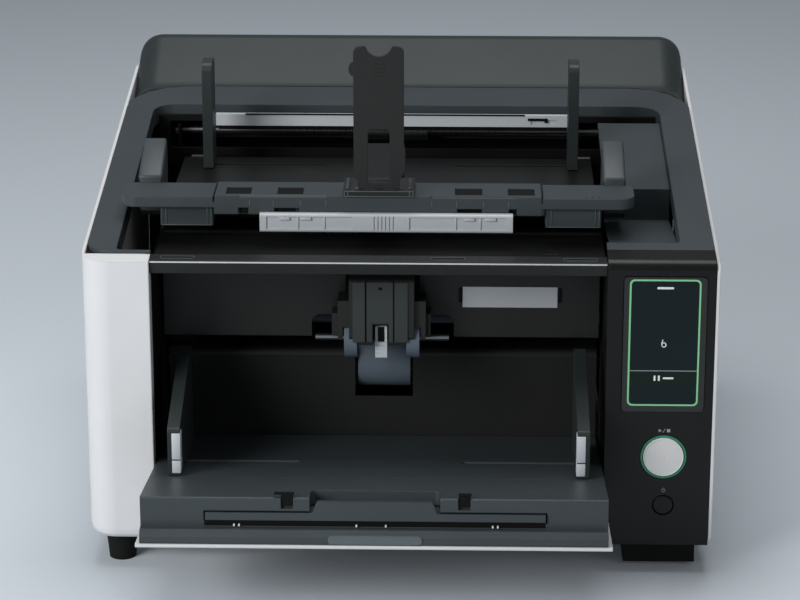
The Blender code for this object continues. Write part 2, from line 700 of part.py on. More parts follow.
def exit_brush():
    """Anti-static brush: a metal holder across the exit, with a row of short bristles below."""
    left, right = FEED_X - 0.1405, FEED_X + 0.1445
    front = EXIT_WALL_DEPTH - 0.0050
    holder = piece("brush_holder", box(span((left, right), (front, EXIT_WALL_DEPTH - GAP), (0.2640, 0.2735))),
                   "silver")
    notch = span((right - 0.031, right - 0.010), (front - BEYOND, front + 0.0012), (0.2660, 0.2700))
    cut(holder, box(notch))
    piece("anti_static_brush", box(span((left + 0.002, right - 0.002), (front + 0.0015, front + 0.0035),
                                        (0.2605, 0.2640 - GAP))), "cavity")


def rollers():
    """Driven rollers of the paper path, each moulded round its own steel shaft."""
    left, right = SIDE_FRAME_LEFT - 0.004, SIDE_FRAME_RIGHT + SHEET + 0.006
    rows = (("feed_roller", FEED_AXIS, FEED_RADIUS, 0.020, "roller"),
            ("brake_roller", BRAKE_AXIS, FEED_RADIUS, 0.020, "roller"),
            ("transport_roller", TRANSPORT_AXIS, TRANSPORT_RADIUS, 0.030, "rubber"),
            ("turn_roller", TURN_AXIS, TRANSPORT_RADIUS, 0.030, "rubber"),
            ("exit_roller", EXIT_AXIS, EXIT_ROLLER, 0.030, "steel"))
    spins = {}
    for name, (depth, height), radius, half, colour in rows:
        spins[name] = pivot(f"{name}_spin", (FEED_X, depth, height), machine)
        shaft = rod("x", ((left + right) / 2, depth, height), SHAFT_RADIUS, right - left)
        roller = piece(name, shaft, colour, spins[name])
        join(roller, rod("x", (FEED_X, depth, height), radius, 2 * half, 32))
    return spins


# ---- hopper ------------------------------------------------------------------------------------
TABLE_LEFT = OPENING_LEFT + 0.0015
TABLE_RIGHT = OPENING_RIGHT - 0.0015
FLAP_LEDGE = 0.0795         # height of the ledge under the flap's front face
GUIDE_FRONT = -0.042
GUIDE_REAR = 0.058
STACK_LEFT = FEED_X - DOCUMENT_WIDTH / 2
STACK_RIGHT = FEED_X + DOCUMENT_WIDTH / 2


def tray(depth, drop=0.0):
    """Height of the hopper's surface at a depth."""
    return TRAY_TOP_AT_FRONT - depth * math.tan(TRAY_TILT) - drop


def tilted(bm):
    return tilt(bm, (0.0, 0.0, TRAY_TOP_AT_FRONT), TRAY_TILT)


def level(drop):
    """Height, before the hopper is tilted, of a plane this far under its surface."""
    return TRAY_TOP_AT_FRONT - drop


HINGE_HEIGHT = tray(FLAP_HINGE_DEPTH)


def hopper_table(lift):
    rear = TABLE_END_DEPTH
    front = FLAP_HINGE_DEPTH + 0.0004
    outline = [(front, tray(front, 0.030)), (front, tray(front)), (rear, tray(rear), 0.002),
               (rear, tray(rear, 0.016)), (0.020, tray(0.020, 0.026))]
    table = piece("hopper_table", profile(outline, TABLE_LEFT, TABLE_RIGHT), "slate", lift)
    hollow = [(front + 0.004, tray(front, 0.040)), (front + 0.004, tray(front, 0.004)),
              (rear - 0.004, tray(rear, 0.004)), (rear - 0.004, tray(rear, 0.040))]
    cut(table, profile(hollow, TABLE_LEFT + 0.004, TABLE_RIGHT - 0.004))
    slots = [span((low, high), (0.006, 0.012), (0.0, 0.12))
             for low, high in ((STACK_LEFT - 0.012, FEED_X - 0.060), (FEED_X + 0.060, STACK_RIGHT + 0.012))]
    cut(table, box(*slots))
    return table


def hopper_guide(name, side, slide):
    """Side guide for the stack: an upright wall with a light pad face in front and a foot in a slot."""
    inner = FEED_X + side * (DOCUMENT_WIDTH / 2 + 0.0025)
    outer = inner + side * GUIDE_THICKNESS
    rest = RUNNING_GAP / 2
    outline = [(GUIDE_FRONT, tray(GUIDE_FRONT, -rest)), (GUIDE_FRONT, 0.1265, 0.003),
               (GUIDE_REAR, 0.1570, 0.003), (GUIDE_REAR, tray(GUIDE_REAR, -rest))]
    left, right = sorted((inner, outer))
    guide = piece(name, profile(outline, left, right), "slate", slide)
    middle = (inner + outer) / 2
    join(guide, box(span((middle - 0.002, middle + 0.002), (0.0070, 0.0110), (0.0700, 0.0900))))
    return guide


def hopper_flap(fold):
    """Front part of the hopper. It folds up, and holds the extension plate in a slot."""
    front, rear = FLAP_FRONT_DEPTH, FLAP_HINGE_DEPTH - 0.0004
    reach = -TRAY_REACH + 0.0010
    outline = [(front, FLAP_LEDGE), (front, tray(front), 0.0015), (rear, tray(rear)), (rear, tray(rear, 0.0295)),
               (reach, 0.0705), (reach, 0.0755, 0.001), (front - 0.006, FLAP_LEDGE)]
    flap = piece("hopper_flap", profile(outline, TABLE_LEFT, TABLE_RIGHT), "slate", fold)
    cut(flap, tilted(box(span((-0.1340, 0.1055), (-0.150, -0.052), (level(0.0175), level(0.0100))))))
    finger = [(-0.0600, -0.150), (-0.0600, -0.0850, 0.004), (0.0310, -0.0850, 0.004), (0.0310, -0.150)]
    cut(flap, tilted(slab(finger, level(0.0120), level(-0.0100))))
    notches = [span((x, x + 0.0085), (-0.150, -0.1040), (0.0930, 0.1100)) for x in (-0.0800, 0.0435)]
    cut(flap, box(*notches))
    ledge = [span((-0.125, 0.0965), (-0.130, -0.1000), (0.0806, 0.0842))]
    cut(flap, box(*ledge))
    return flap


def hopper_extension(slide):
    """Plate that pulls forward out of the flap, for long sheets."""
    plate = tilted(box(span((-0.1330, 0.1045), (-0.1080, -0.0530), (level(0.0165), level(0.0110)))))
    extension = piece("hopper_extension", plate, "slate", slide)
    tab = [(-0.0585, level(0.0120)), (-0.0550, level(0.0030), 0.002), (0.0260, level(0.0030), 0.002),
           (0.0295, level(0.0120))]
    join(extension, tilted(face_plate(tab, -0.1080, -0.1020)))
    return extension


def hopper_skin(fold):
    """Light outer panel under the flap; it becomes the front when the hopper is folded up."""
    rear = FLAP_HINGE_DEPTH - 0.0004
    outline = [(-TRAY_REACH, 0.0702), (-TRAY_REACH, 0.0672, 0.0020), (rear, tray(rear, 0.0335)),
               (rear, tray(rear, 0.0298))]
    skin = profile(outline, TABLE_LEFT - 0.0030, TABLE_RIGHT + 0.0030)
    return piece("hopper_skin", skin, "light_grey", fold)


def hopper():
    lift = pivot("hopper_lift", (FEED_X, 0.040, tray(0.040)), machine)
    fold = pivot("hopper_fold", (FEED_X, FLAP_HINGE_DEPTH, HINGE_HEIGHT), lift)
    extend = pivot("extension_slide", (FEED_X, FLAP_FRONT_DEPTH, tray(FLAP_FRONT_DEPTH)), fold)
    hopper_table(lift)
    hopper_flap(fold)
    hopper_skin(fold)
    hopper_extension(extend)
    for word, side in (("left", -1), ("right", 1)):
        slide = pivot(f"{word}_hopper_guide_slide", (STACK_LEFT if side < 0 else STACK_RIGHT, 0.0, 0.084), lift)
        hopper_guide(f"hopper_guide_{word}", side, slide)


# ---- pick unit ---------------------------------------------------------------------------------
ARM_LEFT = FEED_X - 0.0240
ARM_RIGHT = FEED_X + 0.0240
PICK_SHAFT_RADIUS = 0.0025
LEVER_AXIS = (0.050, 0.1720)
LEVER_X = FEED_X - 0.0005


def pick_arm(swing):
    """Cover and arm in one: it hangs on the feed shaft and carries the two pick rollers."""
    outline = [(0.0420, 0.1620), (0.0420, 0.2120, 0.003), (0.0500, 0.2160, 0.003), (0.0640, 0.2140, 0.006),
               (0.0900, 0.1900, 0.010), (0.1400, 0.1780, 0.006), (0.1400, 0.1480, 0.008),
               (0.1130, 0.1480, 0.004), (0.0900, 0.1520), (0.0640, 0.1620)]
    arm = piece("pick_arm", profile(outline, ARM_LEFT, ARM_RIGHT), "dark", swing)
    shoulder_box = span((FEED_X - 0.0325, FEED_X + 0.0325), (0.0460, 0.0680), (0.1660, 0.1950))
    join(arm, box(shoulder_box))
    join(arm, box(span((FEED_X - 0.0370, FEED_X + 0.0360), (0.0500, 0.0660), (0.1670, 0.1840))))
    space = 2 * RUNNING_GAP
    roller_spaces = [((FEED_X + side * PICK_SPACING / 2, *PICK_AXIS), PICK_RADIUS + 0.0015,
                      PICK_ROLLER_WIDTH + space) for side in (-1, 1)]
    cut(arm, rods("x", roller_spaces, 32))
    cut(arm, rod("x", (FEED_X, *FEED_AXIS), FEED_RADIUS + RUNNING_GAP, 0.040 + space, 32))
    cut(arm, rod("x", (FEED_X, *FEED_AXIS), SHAFT_HOLE, 0.080))
    cut(arm, rod("x", (FEED_X, *PICK_AXIS), PICK_SHAFT_RADIUS + 0.0004, 0.120))
    cut(arm, box(span((LEVER_X - 0.0058, LEVER_X + 0.0058), (0.0300, 0.0545), (0.1500, 0.1780))))
    return arm


def sensor_lever(swing):
    """Paper sensor: a ribbed finger that the top sheet pushes backwards."""
    outline = [(0.0478, 0.1490, 0.001), (0.0478, 0.1750, 0.001), (0.0508, 0.1750, 0.001), (0.0508, 0.1510)]
    lever = piece("sensor_lever", profile(outline, LEVER_X - 0.0044, LEVER_X + 0.0044), "silver", swing)
    grooves = [span((LEVER_X - 0.0034, LEVER_X + 0.0034), (0.0460, 0.0483), (z, z + 0.0012))
               for z in (0.1530, 0.1560, 0.1590, 0.1620, 0.1650, 0.1680)]
    cut(lever, box(*grooves))
    return lever


def pick_unit():
    swing = pivot("pick_arm_swing", (FEED_X, *FEED_AXIS), machine)
    spin = pivot("pick_roller_spin", (FEED_X, *PICK_AXIS), swing)
    lever = pivot("sensor_lever_swing", (LEVER_X, *LEVER_AXIS), swing)
    pick_arm(swing)
    sensor_lever(lever)
    shaft = rod("x", (FEED_X, *PICK_AXIS), PICK_SHAFT_RADIUS, 2 * STUB_REACH, 16)
    piece("pick_shaft", shaft, "steel", spin)
    for word, side in (("left", -1), ("right", 1)):
        place = (FEED_X + side * PICK_SPACING / 2, *PICK_AXIS)
        roller = piece(f"pick_roller_{word}", rod("x", place, PICK_RADIUS, PICK_ROLLER_WIDTH, 36), "roller",
                       spin)
        cut(roller, rod("x", place, PICK_SHAFT_RADIUS + GAP, 0.020, 16))


# ---- stacker -----------------------------------------------------------------------------------
BEAM_REAR = 0.104
WING_BOTTOM = STACKER_TOP - STACKER_LIP
FLOOR_THICKNESS = 0.0025
FLOOR_REAR = 0.262
HINGE_BARREL = 0.0045
HINGE_PIN = 0.0025
HINGE_PLACES = (-0.1560, 0.1300)        # middles of the two lugs
SPINE_LEFT = -0.0330
SPINE_RIGHT = -0.0010
SPINE_TOP = 0.2690
STOPPER_X = -0.0165
STOPPER_LOW = 0.2753
STOPPER_DEPTH = 0.0690      # its hinge
GUIDE_BLADE = 0.0080
GUIDE_SLOT_DEPTH = 0.2410
STACK_GUIDE_TRAVEL = 0.090


def stacker_beam(lift):
    """Beam across the stacker's front: a middle section and two wings over the top frame."""
    front, rear = STACKER_FRONT, BEAM_REAR
    wings = slab([(WING_LEFT_END, front, 0.012), (WING_LEFT_END, rear, 0.003),
                  (WING_RIGHT_END, rear, 0.003), (WING_RIGHT_END, front, 0.012)], WING_BOTTOM, STACKER_TOP, steps=5)
    beam = piece("stacker_beam", wings, "slate", lift)
    middle = [(front + 0.0030, 0.2550), (front + 0.0030, SPINE_TOP), (rear, SPINE_TOP), (rear, 0.2550)]
    join(beam, profile(middle, SECTION_LEFT, SECTION_RIGHT))
    faces = [span((low, high), (front, front + 0.0040), (0.2550, SPINE_TOP - 0.0030))
             for low, high in ((-0.1125, -0.0935), (-0.0750, -0.0550), (0.0217, 0.0410), (0.0595, 0.0790))]
    faces += [span((low, high), (front, front + 0.0040), (0.2550, SPINE_TOP))
              for low, high in ((-0.0549, 0.0216), (SECTION_LEFT, -0.1200), (0.0850, SECTION_RIGHT))]
    join(beam, box(*faces))
    boxes = [span((low, high), (0.0700, 0.1000), (0.2450, 0.2610))
             for low, high in ((-0.1780, -0.1390), (0.1060, 0.1470))]
    join(beam, box(*boxes))
    seams = [span((x - 0.0006, x + 0.0006), (0.05, 0.12), (0.2640, 0.28)) for x in (SECTION_LEFT, SECTION_RIGHT)]
    cut(beam, box(*seams))
    windows = [span((low, high), (0.0720, 0.0900), (0.2400, 0.30))
               for low, high in ((-0.1295, -0.1110), (-0.0915, -0.0725), (0.0395, 0.0595), (0.0785, 0.0980))]
    cut(beam, box(*windows))
    cut(beam, box(span((-0.0500, 0.0200), (front + 0.0040, 0.1010), (0.2500, SPINE_TOP - 0.0030))))
    return beam


def stacker_bed(lift):
    """Bed that the scanned sheets land on, with its raised spine, end blocks and hinge pins."""
    front = BEAM_REAR + GAP
    bed = piece("stacker_bed", box(span((-0.1780, 0.1470), (front, FLOOR_REAR),
                                        (FLOOR_TOP - FLOOR_THICKNESS, FLOOR_TOP))), "slate", lift)
    join(bed, box(span((SPINE_LEFT, SPINE_RIGHT), (front, 0.2150), (FLOOR_TOP - 0.001, SPINE_TOP))))
    for left, right in ((-0.1970, -0.1800), (0.1500, 0.1660)):
        end_block = [(front, 0.2430), (front, 0.2720, 0.004), (0.1430, 0.2900, 0.006), (0.1465, 0.2430)]
        join(bed, profile(end_block, left, right))
    links = [span((-0.1850, -0.1740), (0.1060, 0.1450), (0.2420, 0.2480)),
             span((0.1440, 0.1540), (0.1060, 0.1450), (0.2420, 0.2480))]
    join(bed, box(*links))
    depth, height = STACKER_HINGE
    for middle in HINGE_PLACES:
        side = -1 if middle < 0 else 1
        start = middle + side * 0.0040
        join(bed, rod("x", (start + side * 0.0065, depth, height), HINGE_BARREL, 0.0130))
        join(bed, box(span(sorted((start, start + side * 0.0130)), (FLOOR_REAR - 0.004, depth),
                           (height - 0.001, height + 0.0035))))
        join(bed, rod("x", (middle + side * 0.0015, depth, height), HINGE_PIN, 0.0070, 16))
    notches = [span((middle - 0.0038, middle + 0.0038), (FLOOR_REAR - 0.0045, FLOOR_REAR + 0.001), (0.23, 0.26))
               for middle in HINGE_PLACES]
    cut(bed, box(*notches))
    slots = [span((low - 0.0035, high + 0.0035), (GUIDE_SLOT_DEPTH - 0.0015, GUIDE_SLOT_DEPTH + 0.0015),
                  (0.23, 0.26))
             for low, high in ((-0.1560, -0.1560 + STACK_GUIDE_TRAVEL), (0.1315 - STACK_GUIDE_TRAVEL, 0.1315))]
    cut(bed, box(*slots))
    cut(bed, box(span((SPINE_LEFT + 0.003, SPINE_RIGHT - 0.003), (0.1080, 0.2120), (0.2300, 0.2660))))
    return bed


def stacker_handle(pull):
    """Grip under the stacker's front: its lower edge is pulled forward to release the stacker."""
    outline = [(0.0600, 0.2430, 0.002), (0.0600, 0.2573, 0.002), (0.0650, 0.2573), (0.0650, 0.2430)]
    handle = piece("stacker_handle", profile(outline, -0.1040, 0.0820), "handle_grey", pull)
    panels = [span((low, high), (0.0580, 0.0608), (0.2455, 0.2550))
              for low, high in ((-0.0990, -0.0360), (0.0060, 0.0770))]
    cut(handle, box(*panels))
    ribs = [span((x, x + 0.0012), (0.0580, 0.0606), (0.2450, 0.2555))
            for x in (-0.0200 + 0.0028 * step for step in range(6))]
    cut(handle, box(*ribs))
    return handle


def stopper(slide, fold):
    """End stop of the stacker: a slider on the spine and a plate that folds down backwards."""
    left, right = STOPPER_X - 0.0260, STOPPER_X + 0.0260
    low, high = SPINE_TOP + GAP, 0.2740
    slider = piece("stopper_slider", box(span((left, right), (0.0640, 0.1000), (low, high))), "slate", slide)
    ribs = [span((STOPPER_X - 0.012, STOPPER_X + 0.012), (y, y + 0.0015), (high - 0.0010, 0.30))
            for y in (0.080 + 0.004 * step for step in range(4))]
    cut(slider, box(*ribs))
    edge = STOPPER_WIDTH / 2
    top = STOPPER_LOW + STOPPER_HEIGHT
    notch = 0.0089
    outline = [(STOPPER_X - edge, STOPPER_LOW), (STOPPER_X - edge, top, 0.004), (STOPPER_X - notch, top, 0.002),
               (STOPPER_X - notch, top - 0.0065, 0.003), (STOPPER_X + notch, top - 0.0065, 0.003),
               (STOPPER_X + notch, top, 0.002), (STOPPER_X + edge, top, 0.004), (STOPPER_X + edge, STOPPER_LOW)]
    window = rect(STOPPER_X - 0.0080, 0.2800, STOPPER_X + 0.0080, 0.3200, 0.002)
    plate = piece("stopper_plate", face_plate(outline, 0.0660, 0.0690, hole=window), "slate", fold)
    join(plate, box(span((STOPPER_X - edge - 0.0035, STOPPER_X - edge + 0.001), (0.0662, 0.0688),
                         (0.3600, 0.3710))))


def stack_guide(name, middle, slide):
    """Upright blade at one side of the stacker's bed."""
    left, right = middle - GUIDE_BLADE / 2, middle + GUIDE_BLADE / 2
    low = FLOOR_TOP + RUNNING_GAP / 2
    outline = [(0.2280, low), (0.2280, low + STACK_GUIDE_HEIGHT, 0.006), (0.2540, low + STACK_GUIDE_HEIGHT, 0.006),
               (0.2540, low)]
    guide = piece(name, profile(outline, left, right), "slate", slide)
    join(guide, box(span((middle - 0.0025, middle + 0.0025), (GUIDE_SLOT_DEPTH - 0.0008, GUIDE_SLOT_DEPTH + 0.0008),
                         (low - 0.004, low + 0.001))))
    return guide


def stacker():
    lift = pivot("stacker_lift", (FEED_X, *STACKER_HINGE), machine)
    pull = pivot("handle_pull", (-0.011, 0.0630, 0.2560), lift)
    slide = pivot("stopper_slide", (STOPPER_X, 0.082, SPINE_TOP), lift)
    fold = pivot("stopper_fold", (STOPPER_X, STOPPER_DEPTH, STOPPER_LOW), slide)
    stacker_beam(lift)
    stacker_bed(lift)
    stacker_handle(pull)
    stopper(slide, fold)
    for word, middle in (("left", -0.1560), ("right", 0.1315)):
        guide_slide = pivot(f"{word}_stack_guide_slide", (middle, GUIDE_SLOT_DEPTH, FLOOR_TOP), lift)
        stack_guide(f"stack_guide_{word}", middle, guide_slide)


# ---- inner units and feet ----------------------------------------------------------------------
def feed_guide():
    """Bent plate at the inlet: the lower side of the paper path, open where the rollers reach through."""
    outline = [(0.1070, 0.0450), (0.1070, 0.1360, 0.005), (0.1860, 0.1360), (0.1860, 0.1340),
               (0.1090, 0.1340, 0.004), (0.1090, 0.0450)]
    guide = piece("feed_guide", profile(outline, -0.1780, 0.1480), "dark")
    windows = [span((FEED_X - 0.0220, FEED_X + 0.0220), (0.1000, 0.1460), (0.0980, 0.1500)),
               span((FEED_X - 0.0320, FEED_X + 0.0320), (0.1485, 0.1815), (0.1200, 0.1500))]
    cut(guide, box(*windows))
    return guide


def arc(beyond):
    """Points of the paper path's turn at the rear, this far outside it."""
    radius = TURN_RADIUS + beyond
    return [(TURN_CENTRE[0] + radius * math.cos(angle), TURN_CENTRE[1] + radius * math.sin(angle))
            for angle in (math.radians(-90 + 15 * step) for step in range(13))]


def inner_units():
    for word, low, high in (("lower", 0.0950, 0.1325), ("upper", 0.1415, 0.1800)):
        outline = rect(0.1900, low, 0.2300, high, 0.004)
        unit = piece(f"{word}_scan_unit", profile(outline, -0.1700, 0.1420), "black")
        height = high if word == "lower" else low
        cut(unit, box(span((-0.1500, 0.1220), (0.2040, 0.2160), (height - 0.001, height + 0.001))))
    piece("turn_guide", profile(arc(0.0020) + arc(0.0040)[::-1], -0.1700, 0.1420), "dark")
    board = piece("main_board", box(span((-0.1600, 0.0500), (0.2900, 0.4100), (0.0400, 0.0416))), "board")
    chips = [span((x, x + size), (y, y + size), (0.0410, 0.0440))
             for x, y, size in ((-0.120, 0.330, 0.030), (-0.060, 0.360, 0.022), (0.000, 0.320, 0.018))]
    join(board, box(*chips))
    piece("power_supply", box(span((0.0700, 0.1500), (0.2600, 0.4000), (0.0300, 0.0750))), "zinc")
    (left, right), (low, high) = INLET
    inlet = piece("power_inlet", box(span((left, right), (BODY_DEPTH - 0.0250, BODY_DEPTH - 0.0010), (low, high))),
                  "black")
    cut(inlet, box(span((left + 0.003, right - 0.003), (BODY_DEPTH - 0.0150, BODY_DEPTH + BEYOND),
                        (low + 0.003, high - 0.003))))
    motor = piece("feed_motor", rod("x", (0.1850, 0.1500, 0.0750), 0.0210, 0.0400, 28), "steel")
    join(motor, rod("x", (0.1630, 0.1500, 0.0750), 0.0030, 0.0060, 16))


def feet():
    top = COVER_BOTTOM - GAP
    for name, x, depth in (("foot_front_left", -0.2080, 0.0250), ("foot_rear_left", -0.1950, 0.3980),
                           ("foot_rear_right", 0.1900, 0.3980)):
        piece(name, rod("z", (x, depth, top / 2), 0.0100, top, 24, top=0.0120), "rubber")
    plinth = piece("foot_front_right", box(span((0.1660, 0.2190), (0.0150, 0.0450), (0.0027, top))), "rubber")
    join(plinth, rod("z", (0.1785, 0.0300, 0.0030), 0.0080, 0.0060))


# ---- the scanner -------------------------------------------------------------------------------
left_side_cover()
right_side_cover()
rear_cover()
top_frame()
top_rear_cover()
control_panel_cover()
display()
buttons()
base_pan()
side_frame("left_side_frame", SIDE_FRAME_LEFT)
side_frame("right_side_frame", SIDE_FRAME_RIGHT)
lip_bar()
bay_ceiling()
chute_wall()
bay_liner("left_bay_liner", OPENING_LEFT - 0.0022, 0.0165, 0.2286)
bay_liner("right_bay_liner", OPENING_RIGHT + 0.0007, PANEL_DEPTH + GAP, FRAME_TOP)
lower_front_cover()
recess_tray()
exit_wall()
exit_brush()
rollers()
hopper()
pick_unit()
stacker()
feed_guide()
inner_units()
feet()
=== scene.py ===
import json
import math

import bmesh
import bpy
from mathutils import Matrix, Vector


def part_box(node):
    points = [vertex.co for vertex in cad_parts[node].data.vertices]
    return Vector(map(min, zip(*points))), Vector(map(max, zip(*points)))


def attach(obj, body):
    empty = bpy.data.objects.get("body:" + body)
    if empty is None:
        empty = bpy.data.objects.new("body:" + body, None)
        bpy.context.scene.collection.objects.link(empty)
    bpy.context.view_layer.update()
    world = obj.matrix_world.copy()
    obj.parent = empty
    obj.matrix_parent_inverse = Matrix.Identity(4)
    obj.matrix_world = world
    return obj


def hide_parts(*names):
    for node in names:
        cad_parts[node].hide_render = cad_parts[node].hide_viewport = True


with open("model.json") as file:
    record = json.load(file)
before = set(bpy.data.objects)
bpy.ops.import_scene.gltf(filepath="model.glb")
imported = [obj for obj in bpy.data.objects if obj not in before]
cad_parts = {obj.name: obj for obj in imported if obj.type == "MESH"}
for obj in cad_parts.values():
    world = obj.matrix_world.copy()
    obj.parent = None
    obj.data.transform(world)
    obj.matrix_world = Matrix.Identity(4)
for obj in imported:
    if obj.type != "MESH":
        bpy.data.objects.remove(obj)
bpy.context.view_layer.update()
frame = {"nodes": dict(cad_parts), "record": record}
nodes = frame["nodes"]
print("frame loaded:", len(nodes), "nodes")


def linear(code):
    # sRGB hex to the linear values that shaders take
    channels = [int(code[i:i + 2], 16) / 255 for i in (1, 3, 5)]
    return [c / 12.92 if c <= 0.04045 else ((c + 0.055) / 1.055) ** 2.4 for c in channels] + [1.0]


def addNode(tree, kind, settings=None, inputs=None):
    node = tree.nodes.new(kind)
    for key, value in (settings or {}).items():
        setattr(node, key, value)
    for key, value in (inputs or {}).items():
        if isinstance(value, bpy.types.NodeSocket):
            tree.links.new(value, node.inputs[key])
        else:
            node.inputs[key].default_value = value
    return node


def surface(name, values):
    # one Principled surface: two tones mixed by soft noise, a fine grain in the bump, rounded edges
    material = bpy.data.materials.new(name)
    material.use_nodes = True
    tree = material.node_tree
    shader = tree.nodes["Principled BSDF"]
    shader.inputs["Metallic"].default_value = values.get("metallic", 0.0)
    shader.inputs["Specular IOR Level"].default_value = values.get("specular", 0.5)
    shader.inputs["Coat Weight"].default_value = values.get("coat", 0.0)
    shader.inputs["Coat Roughness"].default_value = 0.08
    place = addNode(tree, "ShaderNodeTexCoord").outputs["Object"]
    stretch = addNode(tree, "ShaderNodeMapping",
                      inputs={"Vector": place, "Scale": values.get("stretch", (1, 1, 1))})
    cloud = addNode(tree, "ShaderNodeTexNoise", inputs={"Vector": place, "Detail": 3.0,
                                                        "Scale": 1000 / values.get("patch", 60)})
    grain = addNode(tree, "ShaderNodeTexNoise", inputs={"Vector": stretch.outputs[0], "Detail": 2.0,
                                                        "Scale": 1000 / values["grain"]})
    tone = addNode(tree, "ShaderNodeMix", {"data_type": "RGBA"},
                   {0: cloud.outputs[0], 6: linear(values["low"]), 7: linear(values["high"])})
    tree.links.new(tone.outputs[2], shader.inputs["Base Color"])
    rough = addNode(tree, "ShaderNodeMapRange", inputs={0: grain.outputs[0], 1: 0.3, 2: 0.7,
                                                        3: values["rough"] - 0.06, 4: values["rough"] + 0.06})
    tree.links.new(rough.outputs[0], shader.inputs["Roughness"])
    edge = addNode(tree, "ShaderNodeBevel", {"samples": 4}, {"Radius": values.get("edge", 0.5) / 1000})
    bump = addNode(tree, "ShaderNodeBump", inputs={"Strength": values["bump"], "Distance": 0.0004,
                                                   "Height": grain.outputs[0], "Normal": edge.outputs[0]})
    tree.links.new(bump.outputs[0], shader.inputs["Normal"])
    return material


